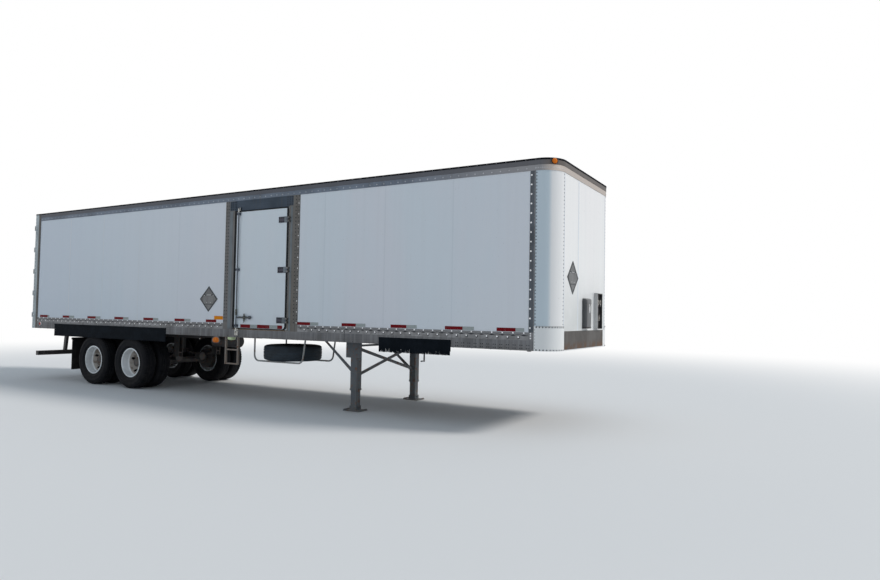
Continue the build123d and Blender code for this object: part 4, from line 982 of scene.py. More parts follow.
def front_joints(bm):
    """The joint on the front wall with its rivets, and the edges of the round corners."""
    z0, z1 = rail_bottom + 0.28, top_rail_low - 0.002
    bar(bm, wall_front, wall_front + 0.0012, -0.393, -0.353, z0, z1)
    for z in evenly(z0 + 0.03, z1 - 0.03, 0.075):
        rivet(bm, (wall_front, -0.343, z), (1, 0, 0), 0.0055, 0.0028)
    for side in (-1, 1):
        y = side * (flat_y - 0.004)
        bar(bm, wall_front, wall_front + 0.002, y - 0.012, y + 0.012, z0, z1)


def roof_joints(bm):
    """Low laps across the roof sheet."""
    top = high("roof_sheet", "z")
    for x in evenly(rear + 0.3, front - 0.4, 1.22):
        bar(bm, x - 0.02, x + 0.02, -half + 0.05, half - 0.05, top, top + 0.003, 0.001)
        for y in evenly(-half + 0.08, half - 0.08, 0.1):
            rivet(bm, (x + 0.01, y, top + 0.003), (0, 0, 1), 0.006, 0.0028, 6)
    for side in (-1, 1):
        for x in evenly(rear + 0.1, corner_x, 0.15):
            rivet(
                bm, (x, side * high("roof_edge", "y"), high("roof_edge", "z") - 0.012),
                (0, side, 0), 0.005, 0.0022, 6,
            )


piece("wall_joints", "van", "sealed_joint", wall_joints)
piece("front_joints", "van", "sealed_joint", front_joints)
piece("roof_joints", "van", "roof_metal", roof_joints)

# %% [markdown]
# ## Reflective tape
#
# Lengths of red and white tape run along the foot of each side, on the door and round the rear. Tape like
# this is a film of tiny corner-cube cells, so it is built as a film 0.6 mm thick with a fine cell pattern.
# The lengths on the door side were measured in the photograph; the far side repeats them, and the rear
# has an even pattern.


# %% Tape finish and lengths
def tape(name, colour, cell):
    """Reflective film with a pattern of fine cells."""
    f = Finish(name, colour, 0.5, Specular_IOR_Level=0.1)
    place = put(f.tree, "ShaderNodeTexCoord").outputs["Object"]
    cells = put(f.tree, "ShaderNodeTexVoronoi", feature="DISTANCE_TO_EDGE")
    feed(f.tree, cells.inputs["Vector"], place)
    feed(f.tree, cells.inputs["Scale"], 170.0)
    f.over(fade(f.tree, cells.outputs["Distance"], 0.12, 0.02), cell, 0.4)
    f.over(f.part(f.mask("Patches", Scale=18.0, Start=0.5, End=0.72), 0.2), (0.16, 0.13, 0.12), 0.7)
    return f


finishes["red_tape"] = tape("Red tape", (0.20, 0.003, 0.008), (0.13, 0.002, 0.005))
finishes["white_tape"] = tape("White tape", (0.42, 0.45, 0.44), (0.32, 0.35, 0.34))
finishes["orange_plate"] = tape("Orange reflector", (0.86, 0.29, 0.004), (0.70, 0.19, 0.003))
measured_lengths = (
    # red start, red end, white end, from the middle of the box
    (-6.1, -5.787, -5.719),
    (-5.186, -4.931, -4.741),
    (-4.248, -3.95, -3.779),
    (-3.296, -2.997, -2.822),
    (-2.338, -2.034, -1.873),
    (-1.383, -1.095, -0.923),
    (-0.492, -0.21, -0.21),
    (1.779, 2.068, 2.246),
    (2.738, 3.027, 3.216),
    (3.702, 3.994, 4.181),
    (4.672, 4.968, 5.151),
    (5.512, 5.801, 5.93),
)
tape_z, tape_high, film = 1.432, 0.05, 0.0006


def side_tape(bm, colour):
    """The lengths of one colour on both sides."""
    for side in (-1, 1):
        for start, change, end in measured_lengths:
            x0, x1 = (start, change) if colour == "red" else (change, end)
            if x1 - x0 < 0.01:
                continue
            y = side * (wall_y + 0.0013)
            bar(
                bm, middle + x0, middle + x1, y, y + side * film, tape_z - tape_high / 2,
                tape_z + tape_high / 2,
            )


def rear_tape(bm, colour):
    """The lengths of one colour on the guard."""
    x = low("rear_guard", "x")
    z = low("rear_guard", "z") + 0.05
    for i, y in enumerate(evenly(-1.2, 1.2, 0.3)[:-1]):
        if (i % 2 == 0) == (colour == "red"):
            bar(bm, x - film, x, y, y + 0.3, z - tape_high / 2, z + tape_high / 2)


def leaf_tape(bm, colour):
    """The lengths of one colour at the foot of the side door."""
    lengths = (
        (0.419, 0.668, "red"), (0.668, 0.838, "white"), (0.838, 1.137, "red"),
        (1.137, 1.323, "white"), (1.323, 1.438, "red"),
    )
    for start, end, shade in lengths:
        if shade == colour:
            bar(bm, middle + start, middle + end, -wall_y, -wall_y - film, 1.325, 1.387)


def orange_plates(bm):
    """The orange reflector on each side, just behind the side door."""
    for side in (-1, 1):
        y = side * wall_y
        bar(bm, middle - 0.269, middle - 0.036, y, y + side * 0.0024, 1.460, 1.526, 0.001)


def door_tape(bm, colour, side):
    """The lengths of one colour at the foot of one rear door."""
    x = low("rear_door_left", "x")
    for i, y in enumerate(evenly(0.05, 1.15, 0.22)[:-1]):
        if (i % 2 == 0) == (colour == "red"):
            bar(bm, x - film, x, side * y, side * (y + 0.2), floor_top + 0.06, floor_top + 0.06 + tape_high)


for colour in ("red", "white"):
    piece(f"side_tape_{colour}", "van", f"{colour}_tape", lambda bm, c=colour: side_tape(bm, c))
    piece(f"guard_tape_{colour}", "van", f"{colour}_tape", lambda bm, c=colour: rear_tape(bm, c))
    piece(f"side_door_tape_{colour}", "side_door", f"{colour}_tape", lambda bm, c=colour: leaf_tape(bm, c))
    for door, side in (("left", 1), ("right", -1)):
        draw = lambda bm, c=colour, s=side: door_tape(bm, c, s)
        piece(f"rear_door_{door}_tape_{colour}", f"rear_door_{door}", f"{colour}_tape", draw)

piece("orange_reflectors", "van", "orange_plate", orange_plates)

# %% [markdown]
# ## Lamps
#
# The solids are plain discs and boxes of lens plastic. A real marker sits in a rubber grommet or a metal
# bracket, so each lamp gets its ring: black rubber round the tail lamps and the corner lamps, a pale ring
# round the red side marker. Dark metal ears stand beside each corner lamp. Rings turned on a lathe
# profile follow whatever way the lamp looks.


# %% Rings and brackets of the lamps
def lamp_ring(bm, place, axis, radius, width, height):
    """A rounded ring that stands on a surface round a lamp."""
    r0, r1 = radius + 0.0006, radius + width
    profile = [
        (r0, 0.0), (r0, height * 0.8), (r0 + width * 0.3, height), (r1 - width * 0.2, height * 0.7),
        (r1, 0.0),
    ]
    lathe(bm, profile, place, axis, 36)


corner_turn = 45.0
marker_x, marker_z = rear + 0.330, rail_bottom + 0.105
lamp_z = high("roof_edge", "z") - 0.045
door_plane = high("rear_posts", "x") - 0.170
tail_places = [side * y for side in (-1, 1) for y in (half - 0.175, half - 0.605)]


def corner_lamp_place(side, out):
    """A point on the axis of a corner lamp, out metres from the round corner's skin."""
    return on_corner(side, corner_turn, lamp_z, out)


def black_rings(bm):
    """Rubber rings of the tail lamps and a collar behind each corner lamp."""
    for y in tail_places:
        lamp_ring(bm, (door_plane, y, rail_bottom + 0.076), (-1, 0, 0), 0.050, 0.012, 0.011)
    for side in (-1, 1):
        place, normal = corner_lamp_place(side, 0.002)
        lamp_ring(bm, place, normal, 0.0365, 0.0082, 0.010)


def pale_rings(bm):
    """The pale ring of each red side marker."""
    for side in (-1, 1):
        lamp_ring(bm, (marker_x, side * half, marker_z), (0, side, 0), 0.034, 0.009, 0.007)


def lamp_ears(bm):
    """The two ears of each corner lamp's bracket."""
    for side in (-1, 1):
        for ear in (-1, 1):
            base = on_corner(side, corner_turn + ear * 10.5, lamp_z, 0.001)[0]
            pipe(bm, [base + Vector((0, 0, -0.032)), base + Vector((0, 0, 0.032))], 0.005, 8)


piece("lamp_grommets", "van", "seal_rubber", black_rings)
piece("lamp_brackets", "van", "rivet_metal", pale_rings)
piece("corner_lamp_ears", "van", "corner_strip", lamp_ears)

# %% [markdown]
# ## Road tyres
#
# A road tyre has four circumferential grooves between ribs, a row of shoulder notches and a sidewall with
# a raised rim-protector bead and a few plain rings. The CAD tyre is a smooth ring of the same outline.
# Here its section is drawn again with the grooves in it and turned in steps, and every third step of the
# shoulder sits deeper, which cuts the notches without any boolean. The result takes the place of the
# solid and keeps its size.

# %% Draw a tyre
crown_half, groove = 0.108, 0.012


def tyre_section(notched):
    """Half a tyre's section from the bead to the crown, as (radius, offset) points."""
    r = tyre_radius
    shoulder = 0.010 if notched else 0.0
    points = [
        (0.2862, 0.097), (0.3005, 0.0975), (0.305, 0.106), (0.312, 0.109), (0.330, 0.121), (0.352, 0.1305)
    ]
    points += [(0.354, 0.1325), (0.360, 0.1325), (0.362, 0.132), (0.404, belly_half), (0.440, 0.1385)]
    points += [(0.442, 0.1395), (0.446, 0.1395), (0.448, 0.138), (0.480, 0.1335 - shoulder * 0.3)]
    points += [(0.497, 0.125 - shoulder), (r - 0.010 - shoulder * 0.6, crown_half + 0.004 - shoulder)]
    points += [(r - 0.008, crown_half - 0.010)]
    for outer in (0.072, 0.030):
        cut = 0.003 if notched else 0.0
        points += [
            (r - 0.001 - cut, outer + 0.007), (r - groove, outer + 0.005), (r - groove, outer - 0.005)
        ]
        points += [(r - 0.0002 - cut, outer - 0.007)]
    return points


def draw_tyre(bm, centre, axis, segments=168):
    """One tyre: the section turned about its axis, with every third step notched."""
    axis, first, second = frame_about(axis)
    rings = []
    for i, spoke in enumerate(spokes(first, second, segments)):
        half_section = tyre_section(i % 3 == 0)
        inside = [(tyre_radius - 0.036, 0.090), (0.386, 0.1215), (0.2862, 0.079)]
        outline = [(r, -d) for r, d in half_section] + [(r, d) for r, d in reversed(half_section)]
        outline += [(r, d) for r, d in reversed(inside)] + [(r, -d) for r, d in inside]
        rings.append([bm.verts.new(Vector(centre) + spoke * r + axis * d) for r, d in outline])
    join_sections(bm, rings)


# %% Set the tyres on the wheels
for end in ("rear", "front"):
    for side, sign in (("left", 1), ("right", -1)):
        outer_y = sign * (half - belly_half)

        def twins(bm, x=wheel_x[end], y=outer_y, inward=-sign * twin_gap):
            draw_tyre(bm, (x, y, tyre_radius), (0, 1, 0))
            draw_tyre(bm, (x, y + inward, tyre_radius), (0, 1, 0))

        name = f"tyres_{end}_{side}"
        piece(f"road_{name}", f"wheels_{end}_{side}", "tyre_rubber", twins, 32, (name,))

spare_centre = [(a + b) / 2 for a, b in zip(*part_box("spare_tyre"))]
draw = lambda bm: draw_tyre(bm, spare_centre, (0, 0, 1))
piece("road_spare_tyre", "van", "spare_rubber", draw, 32, ("spare_tyre",))

# %% [markdown]
# ## Skirts
#
# Two skirts hang on each side rail. The rear one is a smooth dark sheet in a rail, with a small hump at
# its rear lower end. The front one is a brush: a dark holder and a backing sheet with bristles whose ends
# are ragged. A brush can be made of particle hair, but hair doesn't export, so the bristles are flat
# tapered tufts, in three rows, with random widths and ends.


# %% Draw the skirts
def skirt_sheet(bm, side):
    """The smooth rear skirt with its top bead and end hump."""
    y0, y1 = side * half, side * (half + 0.010)
    x0, x1 = middle - 5.47, middle - 1.62
    bar(bm, x0, x1, y0, y1, 1.235, 1.265, 0.002)
    bar(bm, x0, x1, y0, y0 + side * 0.007, 1.010, 1.240, 0.002)
    bar(bm, x0, x1, y0, y1, 0.997, 1.014, 0.002)
    bar(bm, x0, x0 + 0.22, y0, y1, 0.997, 1.045, 0.006)
    for x in evenly(x0 + 0.06, x1 - 0.06, 0.31):
        rivet(bm, (x, y1 - side * 0.001, 1.25), (0, side, 0), 0.007, 0.001)


def skirt_brush(bm, side, chance):
    """The front skirt: a holder, a backing sheet and three rows of ragged tufts."""
    x0, x1 = high("skirts", "x") - 1.29, high("skirts", "x")
    y0, y1 = side * half, side * (half + 0.010)
    bar(bm, x0, x1, y0, y1, 1.222, 1.256, 0.002)
    bar(bm, x0, x1, y0, y0 + side * 0.002, 1.085, 1.224)
    for row, depth in enumerate((0.0025, 0.0050, 0.0075)):
        x = x0 + 0.004
        while x < x1 - 0.012:
            width = chance.uniform(0.009, 0.017)
            foot_z = 1.023 + (chance.random() ** 3) * 0.030
            lean_x = chance.uniform(-0.006, 0.006)
            y = side * (half + depth)
            top = [(x, y, 1.225), (x + width, y, 1.225)]
            bottom = [
                (x + width * 0.8 + lean_x, y + side * 0.0012, foot_z),
                (x + width * 0.2 + lean_x, y, foot_z + 0.006),
            ]
            bm.faces.new([bm.verts.new(p) for p in top + bottom])
            x += width * 0.62


def all_skirts(bm):
    """Both skirts on both sides."""
    chance = random.Random(11)
    for side in (-1, 1):
        skirt_sheet(bm, side)
        skirt_brush(bm, side, chance)


piece("brush_skirts", "van", "brush_black", all_skirts, 35, ("skirts",))

# %% [markdown]
# ## Side door
#
# The leaf sits in a wide black seal with round corners, thin at the top and foot and broad at the sides.
# The posts beside it are riveted in columns of dark and pale heads, riveted plates stiffen the header's
# two ends, each hinge has a bolted plate on the leaf and pale knuckles on the post, the lock rod ends
# in pale cams that hook the keepers.

# %% Seal of the leaf
leaf_face, leaf_z0, leaf_z1 = -wall_y, low("side_door", "z"), high("side_door", "z")


def door_seal(bm):
    """The black seal round the leaf, broad at the sides."""
    outer = frame_outline(
        door_x0 + 0.001, door_x1 - 0.001, leaf_z0 + 0.001, leaf_z1 - 0.001, (0.02, 0.02, 0.03, 0.05)
    )
    inner = frame_outline(
        door_x0 + 0.036, door_x1 - 0.046, leaf_z0 + 0.013, leaf_z1 - 0.014, (0.012, 0.012, 0.03, 0.055)
    )
    seal(bm, outer, inner, leaf_face, leaf_face - 0.004)


def leaf_edge(bm):
    """The narrow bright fold of the leaf beside its seal."""
    x = door_x0 + 0.036
    bar(bm, x, x + 0.008, leaf_face, leaf_face - 0.0018, leaf_z0 + 0.05, leaf_z1 - 0.03, 0.0006)
    x = door_x1 - 0.046
    bar(bm, x - 0.008, x, leaf_face, leaf_face - 0.0018, leaf_z0 + 0.07, leaf_z1 - 0.03, 0.0006)


piece("side_door_seal", "side_door", "seal_rubber", door_seal)
piece("side_door_edges", "side_door", "white_paint", leaf_edge)


# %% Heads on the posts and the header
def post_heads(bm, pale):
    """Columns of heads on the posts: every third one of the front post's outer flange is pale."""
    columns = (
        (frame_x0 + 0.024, 0.003), (frame_x0 + 0.082, 0.0), (frame_x1 - 0.024, 0.003),
        (frame_x1 - 0.086, 0.0),
    )
    for x, depth in columns:
        for i, z in enumerate(evenly(1.44, top_rail_low - 0.02, 0.062)):
            outer = depth > 0 and x > middle + 1
            if ((i % 3 == 0) and outer) == pale:
                rivet(bm, (x, -half + depth, z), (0, -1, 0), 0.0095 if pale else 0.011, 0.004)


def header_plates(bm):
    """The stiffening plates at the header's two ends."""
    z0, z1 = header_low + 0.012, top_rail_low - 0.006
    for x0, x1 in ((frame_x0 + 0.118, frame_x0 + 0.272), (frame_x1 - 0.305, frame_x1 - 0.150)):
        bar(bm, x0, x1, -half + 0.006, -half - 0.0015, z0, z1, 0.001)


def header_heads(bm):
    """Three columns of dark heads on each stiffening plate."""
    z0, z1 = header_low + 0.035, top_rail_low - 0.025
    for x0, x1 in ((frame_x0 + 0.140, frame_x0 + 0.250), (frame_x1 - 0.283, frame_x1 - 0.172)):
        for x in (x0, (x0 + x1) / 2, x1):
            for z in evenly(z0, z1, 0.040):
                rivet(bm, (x, -half - 0.0015, z), (0, -1, 0), 0.0105, 0.0035)


piece("side_post_dark_heads", "van", "dark_rivet", lambda bm: post_heads(bm, False))
piece("side_post_pale_heads", "van", "rivet_metal", lambda bm: post_heads(bm, True))
piece("side_header_plates", "van", "header_metal", header_plates)
piece("side_header_heads", "van", "dark_rivet", header_heads)


# %% The strips that line each post
def post_strips(bm):
    """The upright fold on each post beside the leaf."""
    for x0, x1 in ((frame_x0 + 0.118, frame_x0 + 0.190), (frame_x1 - 0.205, frame_x1 - 0.160)):
        bar(
            bm, x0, x1, -half, -half - 0.0016, band_top + 0.01, header_low - 0.004, 0.0006
        )


piece("side_post_strips", "van", "blue_strip", post_strips)

# %% [markdown]
# The hinge is the busiest place of the door. On the leaf each strap's plate has three by two bolts;
# beside it a paler plate is folded over the seal, and on the post stand the pale knuckles that hold the
# pin.

# %% Hinges of the side door
hinge_z = [leaf_z0 - 0.008 + 0.175, 0.0, header_low - 0.223]
hinge_z[1] = (hinge_z[0] + hinge_z[2]) / 2
strap_x1 = door_x1 - 0.029
strap_x0 = strap_x1 - 0.207
print("hinges at", [round(z, 3) for z in hinge_z])


def hinge_bolts(bm):
    """The bolts on each strap's plate."""
    for z in hinge_z:
        for x in (strap_x0 + 0.025, strap_x0 + 0.068, strap_x0 + 0.111):
            for dz in (-0.032, 0.032):
                hex_bolt(bm, (x, leaf_face - 0.008, z + dz), (0, -1, 0), 0.0095, 0.007)


def hinge_plates(bm):
    """The paler folded plate between each strap and its pin."""
    for z in hinge_z:
        bar(
            bm, strap_x1 - 0.072, strap_x1 - 0.004, leaf_face - 0.008, leaf_face - 0.0105,
            z - 0.046, z + 0.046, 0.001,
        )


def hinge_leaves(bm):
    """The dark bolted plate of each strap."""
    for z in hinge_z:
        bar(
            bm, strap_x0 + 0.004, strap_x1 - 0.078, leaf_face - 0.008, leaf_face - 0.0095,
            z - 0.048, z + 0.048, 0.001,
        )


def knuckle_caps(bm):
    """The pale knuckles on the post and the pin's two ends."""
    pin_x, pin_y = door_x1 + 0.005, -(half + 0.018)
    for z in hinge_z:
        for end in (-1, 1):
            profile = [
                (0.0005, 0.046), (0.0075, 0.0445), (0.0088, 0.040), (0.0088, 0.021),
                (0.0075, 0.0175), (0.0005, 0.0172),
            ]
            lathe(bm, [(r, end * d) for r, d in profile], (pin_x, pin_y, z), (0, 0, 1), 20, closed=False)


piece("side_hinge_bolts", "side_door", "dark_rivet", hinge_bolts)
piece("side_hinge_plates", "side_door", "blue_strip", hinge_plates)
piece("side_hinge_leaves", "side_door", "strap_dark", hinge_leaves)
piece("side_hinge_knuckles", "van", "pale_knuckle", knuckle_caps)

# %% Lock rod: cams, guide bolts and handle
rod_x = low("side_door_lock", "x") + 0.035
rod_y = -(half + 0.016)
handle_z = floor_top + 0.210
print("rod at", round(rod_x, 3), round(rod_y, 3))


def rod_cams(bm):
    """The pale cam at each end of the lock rod, hooked over its keeper."""
    for z, up in ((leaf_z0 - 0.03, -1), (leaf_z1 + 0.02, 1)):
        profile = [(0.0125, -0.045), (0.0138, -0.040), (0.0138, 0.020), (0.0125, 0.026)]
        lathe(bm, [(0.0112, -0.045)] + profile + [(0.0112, 0.026)], (rod_x, rod_y, z), (0, 0, up), 20)
        bar(bm, rod_x - 0.004, rod_x + 0.036, rod_y + 0.009, rod_y - 0.008, z - 0.014, z + 0.014, 0.003)
        bar(bm, rod_x + 0.022, rod_x + 0.036, rod_y + 0.009, rod_y - 0.008, z, z + up * 0.045, 0.003)


def rod_bolts(bm):
    """The bolts of the rod's guides."""
    for z in (floor_top + 0.06, (leaf_z0 + leaf_z1) / 2, header_low - 0.06):
        for dx in (-0.025, 0.025):
            hex_bolt(bm, (rod_x + dx, rod_y - 0.0105, z), (0, -1, 0), 0.006, 0.0033)


def handle_hasp(bm):
    """The crossed hasp that holds the handle, with the knob at the handle's tip."""
    x = rod_x + 0.205
    bar(bm, x - 0.012, x + 0.012, rod_y + 0.006, rod_y - 0.011, handle_z - 0.075, handle_z + 0.068, 0.003)
    bar(bm, x - 0.030, x + 0.030, rod_y + 0.006, rod_y - 0.009, handle_z - 0.030, handle_z + 0.030, 0.004)
    lathe(
        bm, [(0.010, -0.012), (0.016, -0.006), (0.016, 0.006), (0.010, 0.0095)],
        (x, rod_y, handle_z), (0, -1, 0), 18,
    )
    bar(
        bm, rod_x - 0.018, rod_x + 0.018, rod_y + 0.010, rod_y - 0.011, handle_z + 0.04,
        handle_z + 0.15, 0.004,
    )
    pipe(
        bm,
        [(x - 0.006, rod_y - 0.004, handle_z - 0.07), (x - 0.012, rod_y - 0.005, handle_z - 0.10)],
        0.004, 8,
    )


def handle_grip(bm):
    """The rounded grip of the handle over the flat bar."""
    x0, x1 = rod_x + 0.04, rod_x + 0.378
    pipe(
        bm,
        [
            (x0, rod_y - 0.003, handle_z),
            (x1 - 0.05, rod_y - 0.003, handle_z),
            (x1, rod_y - 0.002, handle_z + 0.004),
        ],
        0.0085, 10,
    )


def side_keeper(bm):
    """The worn keeper plate that hangs over the rail below the rod."""
    x0, x1 = rod_x - 0.032, rod_x + 0.048
    bar(bm, x0, x1, -half, -half - 0.0035, 1.185, 1.300, 0.001)
    bar(bm, x0, x0 + 0.014, -half - 0.003, -half - 0.018, 1.185, 1.290, 0.001)
    bar(bm, x1 - 0.014, x1, -half - 0.003, -half - 0.018, 1.185, 1.255, 0.001)
    bar(bm, x0 + 0.012, x1 - 0.012, -half - 0.003, -half - 0.012, 1.185, 1.200, 0.001)


piece("side_rod_cams", "side_door", "pale_cam", rod_cams)
piece("side_rod_bolts", "side_door", "dark_rivet", rod_bolts)
piece("side_handle_hasp", "side_door", "lock_olive", handle_hasp)
piece("side_handle_grip", "side_door", "lock_olive", handle_grip)
piece("side_keeper", "van", "pale_cam", side_keeper)

# %% [markdown]
# ## Front wall
#
# Low on the front wall hang the shallow box for the air and power couplings, its inside painted dark as
# shade, and the canister for the papers with its round lid; a pale oval on the canister's face is a painted
# highlight and a dark cup under it is painted shade. Each diamond sign holder is empty: a blank hinged
# plate held by clips.

# %% Coupling box and papers canister
box_y0, box_y1 = low("nose_box", "y"), high("nose_box", "y")
box_z0, box_z1, box_out = low("nose_box", "z"), high("nose_box", "z"), high("nose_box", "x")


def box_lining(bm):
    """The dark inside of the coupling box: painted shade."""
    y0, y1, z0, z1 = box_y0 + 0.0125, box_y1 - 0.0125, box_z0 + 0.0125, box_z1 - 0.0125
    bar(bm, front + 0.0032, front + 0.0045, y0, y1, z0, z1)
    for a, b in ((y0, y0 + 0.001), (y1 - 0.001, y1)):
        bar(bm, front + 0.0045, box_out - 0.002, a, b, z0, z1)
    for a, b in ((z0, z0 + 0.001), (z1 - 0.001, z1)):
        bar(bm, front + 0.0045, box_out - 0.002, y0, y1, a, b)


def box_rim(bm):
    """The folded pale rim round the coupling box and its screws."""
    outer = frame_outline(box_y0 - 0.010, box_y1 + 0.010, box_z0 - 0.010, box_z1 + 0.010, (0.02,) * 4)
    inner = frame_outline(box_y0 + 0.001, box_y1 - 0.001, box_z0 + 0.001, box_z1 - 0.001, (0.004,) * 4)
    seal(bm, outer, inner, wall_front + 0.0005, wall_front + 0.003, lambda y, z, x: (x, y, z))
    for y in (box_y0 - 0.005, box_y1 + 0.005):
        for z in evenly(box_z0 + 0.02, box_z1 - 0.02, 0.13):
            rivet(bm, (wall_front + 0.003, y, z), (1, 0, 0), 0.0045, 0.0025)


def box_screws(bm):
    """Screws along the rim of the box's mouth."""
    for z in evenly(box_z0 + 0.03, box_z1 - 0.03, 0.172):
        for y in (box_y0 + 0.006, box_y1 - 0.006):
            rivet(bm, (box_out - 0.0005, y, z), (1, 0, 0), 0.0042, 0.002, 6)


def coupling_faces(bm):
    """The rubber seals and lugs of the two air couplings, and the socket's hinged cover."""
    face = high("air_couplings", "x")
    for y in (low("air_couplings", "y") + 0.038, high("air_couplings", "y") - 0.038):
        lamp_ring(bm, (face, y, 1.86), (1, 0, 0), 0.014, 0.010, 0.004)
        bar(bm, face - 0.012, face - 0.001, y - 0.008, y + 0.008, 1.895, 1.925, 0.002)
        bar(bm, face - 0.012, face - 0.001, y - 0.030, y + 0.030, 1.795, 1.826, 0.004)
    y = mid("air_couplings", "y")
    lamp_ring(bm, (face - 0.004, y, 1.615), (1, 0, 0), 0.020, 0.018, 0.003)
    bar(bm, face - 0.010, face + 0.004, y - 0.034, y + 0.034, 1.655, 1.668, 0.003)


def papers_box_shell(bm, levels):
    """One closed part of the papers canister: levels give each ring's height and how far it is set in."""
    y0, y1, out = low("papers_box", "y"), high("papers_box", "y"), high("papers_box", "x")
    rings = []
    for z, inset in levels:
        outline = frame_outline(
            wall_front, out - inset, y0 + inset, y1 - inset, (0.042, 0.001, 0.001, 0.042), 8
        )
        rings.append([bm.verts.new((x, y, z)) for x, y in outline])
    skin_over(bm, rings)
    bm.faces.new(rings[0])
    bm.faces.new(rings[-1])


papers_z0, papers_z1 = low("papers_box", "z"), high("papers_box", "z")
papers_y = mid("papers_box", "y")
papers_face = high("papers_box", "x") - 0.004


def papers_body(bm):
    """The canister's body and its hinged lid, a little wider than the body and crowned."""
    z = papers_z1 - 0.088
    papers_box_shell(bm, ((papers_z0 + 0.022, 0.004), (z - 0.006, 0.004), (z - 0.006, 0.006), (z, 0.006)))
    lid = (
        (z, 0.0), (papers_z1 - 0.030, 0.0), (papers_z1 - 0.014, 0.003), (papers_z1 - 0.005, 0.010),
        (papers_z1, 0.022),
    )
    papers_box_shell(bm, lid)
    for y in (papers_y - 0.09, papers_y + 0.09):
        bar(
            bm, papers_face - 0.001, papers_face + 0.0012, y - 0.004, y + 0.004, papers_z0 + 0.06,
            z - 0.03, 0.001,
        )


def papers_foot(bm):
    """The dark cup under the canister: painted shade at its foot."""
    papers_box_shell(bm, ((papers_z0, 0.010), (papers_z0 + 0.006, 0.002), (papers_z0 + 0.024, 0.002)))


def papers_highlight_and_catch(bm):
    """A painted highlight on the canister's face: a pale oval plate, with its catch."""
    outline = [
        (0.026 * math.cos(2 * math.pi * i / 24), 0.056 * math.sin(2 * math.pi * i / 24)) for i in range(24)
    ]
    # The pale oval plate is a painted highlight.
    y, z = papers_y + 0.030, papers_z1 - 0.165
    rings = []
    for out, size in ((0.0, 1.0), (0.0016, 1.0), (0.0026, 0.9)):
        rings.append(
            [bm.verts.new((papers_face + out, y + size * dy, z + size * dz)) for dy, dz in outline]
        )
    skin_over(bm, rings)
    bm.faces.new(rings[-1])
    bar(
        bm, papers_face, papers_face + 0.0038, papers_y - 0.014, papers_y + 0.014,
        papers_z1 - 0.105, papers_z1 - 0.080, 0.001,
    )


piece("nose_box_lining", "van", "painted_shade_inside", box_lining)
piece("nose_box_rim", "van", "rivet_metal", box_rim)
piece("nose_box_screws", "van", "dark_rivet", box_screws)
piece("coupling_faces", "van", "gladhand_black", coupling_faces)
piece("papers_canister", "van", "papers_grey", papers_body, 35, ("papers_box",))
piece("papers_canister_foot", "van", "painted_shade_inside", papers_foot)
piece("papers_box_highlight_and_catch", "van", "bright_clips_and_highlight", papers_highlight_and_catch)


# %% Blank plates of the sign holders
def leaf_of_diamond(bm, place, across_by, out_by, half_size, low_end, high_end, thickness):
    """The part of a flat diamond between two heights, about its middle, place; *_by are directions."""
    heights = [low_end] + [0.0] * (low_end < 0 < high_end) + [high_end]
    corners = [(half_size - abs(b), b) for b in heights] + [
        (abs(b) - half_size, b) for b in reversed(heights)
    ]
    corners = [c for i, c in enumerate(corners) if c not in corners[:i]]
    place, across_by, out_by, up = Vector(place), Vector(across_by), Vector(out_by), Vector((0, 0, 1))
    back = [bm.verts.new(place + across_by * a + up * b) for a, b in corners]
    face = [bm.verts.new(place + across_by * a + up * b + out_by * thickness) for a, b in corners]
    bm.faces.new(face)
    skin_over(bm, [back, face])


holder_x, holder_z = low("sign_holders", "x") + 0.2404, low("sign_holders", "z") + 0.2404
front_sign = (high("sign_holders", "x"), -0.62, high("sign_holders", "z") - 0.2404)
sign_places = [
    ((holder_x, side * high("sign_holders", "y"), holder_z), (1, 0, 0), (0, side, 0)) for side in (-1, 1)
]
sign_places.append((front_sign, (0, 1, 0), (1, 0, 0)))


def sign_plates(bm):
    """The blank leaves in each holder: one above the hinge, one below it and one under the lower clip."""
    for place, across_by, out_by in sign_places:
        place = Vector(place) - Vector(out_by) * 0.006
        for low_end, high_end, thickness in (
            (0.086, 0.205, 0.0048), (-0.090, 0.066, 0.0056), (-0.205, -0.104, 0.0048)
        ):
            leaf_of_diamond(bm, place, across_by, out_by, 0.205, low_end, high_end, thickness)


def sign_clips(bm):
    """The bright hinge rod of each holder and its small round-headed clips."""
    for place, across_by, out_by in sign_places:
        place, across_by, out_by = Vector(place), Vector(across_by), Vector(out_by)
        rod = place - out_by * 0.001 + Vector((0, 0, 0.076))
        ends = [rod + across_by * a for a in (-0.058, -0.02, 0.02, 0.058)]
        pipe(bm, ends, 0.005, 10)
        for a, b in ((-0.052, -0.066), (0.052, -0.066), (-0.120, 0.066), (0.120, 0.066)):
            rivet(
                bm, place + across_by * a + Vector((0, 0, b)) - out_by * 0.0012, out_by, 0.007, 0.0025, 10
            )


piece("sign_blank_plates", "van", "blank_plate", sign_plates)
piece("sign_clips", "van", "bright_clips_and_highlight", sign_clips)

# %% [markdown]
# ## Marker lamps
#
# The solids for these lamps are plain discs and boxes. Each gets its real build here: the corner lamps a
# domed amber lens in a black collar, the side lamps an oval amber lens in a dark housing on a bent
# bracket, the step lamp a pale lime dome under the rail. The new lamps stand in for the solids and stay
# inside their size.


# %% Build the marker lamps
def dome(bm, place, axis, radius, height, sides=32):
    """A domed round lens on its base."""
    profile = [
        (radius, 0.0), (radius, height * 0.45), (radius * 0.93, height * 0.72),
        (radius * 0.72, height * 0.92),
    ]
    profile += [(radius * 0.4, height * 0.985), (0.0006, height)]
    lathe(bm, profile, place, axis, sides, closed=False)


lamp_face = half + 0.030
side_lamp = (low("marker_lamps", "x") + 0.100, rail_bottom - 0.063)
step_lamp = Vector((low("side_ladder", "x") + 0.112, -(half - 0.090), rail_bottom))


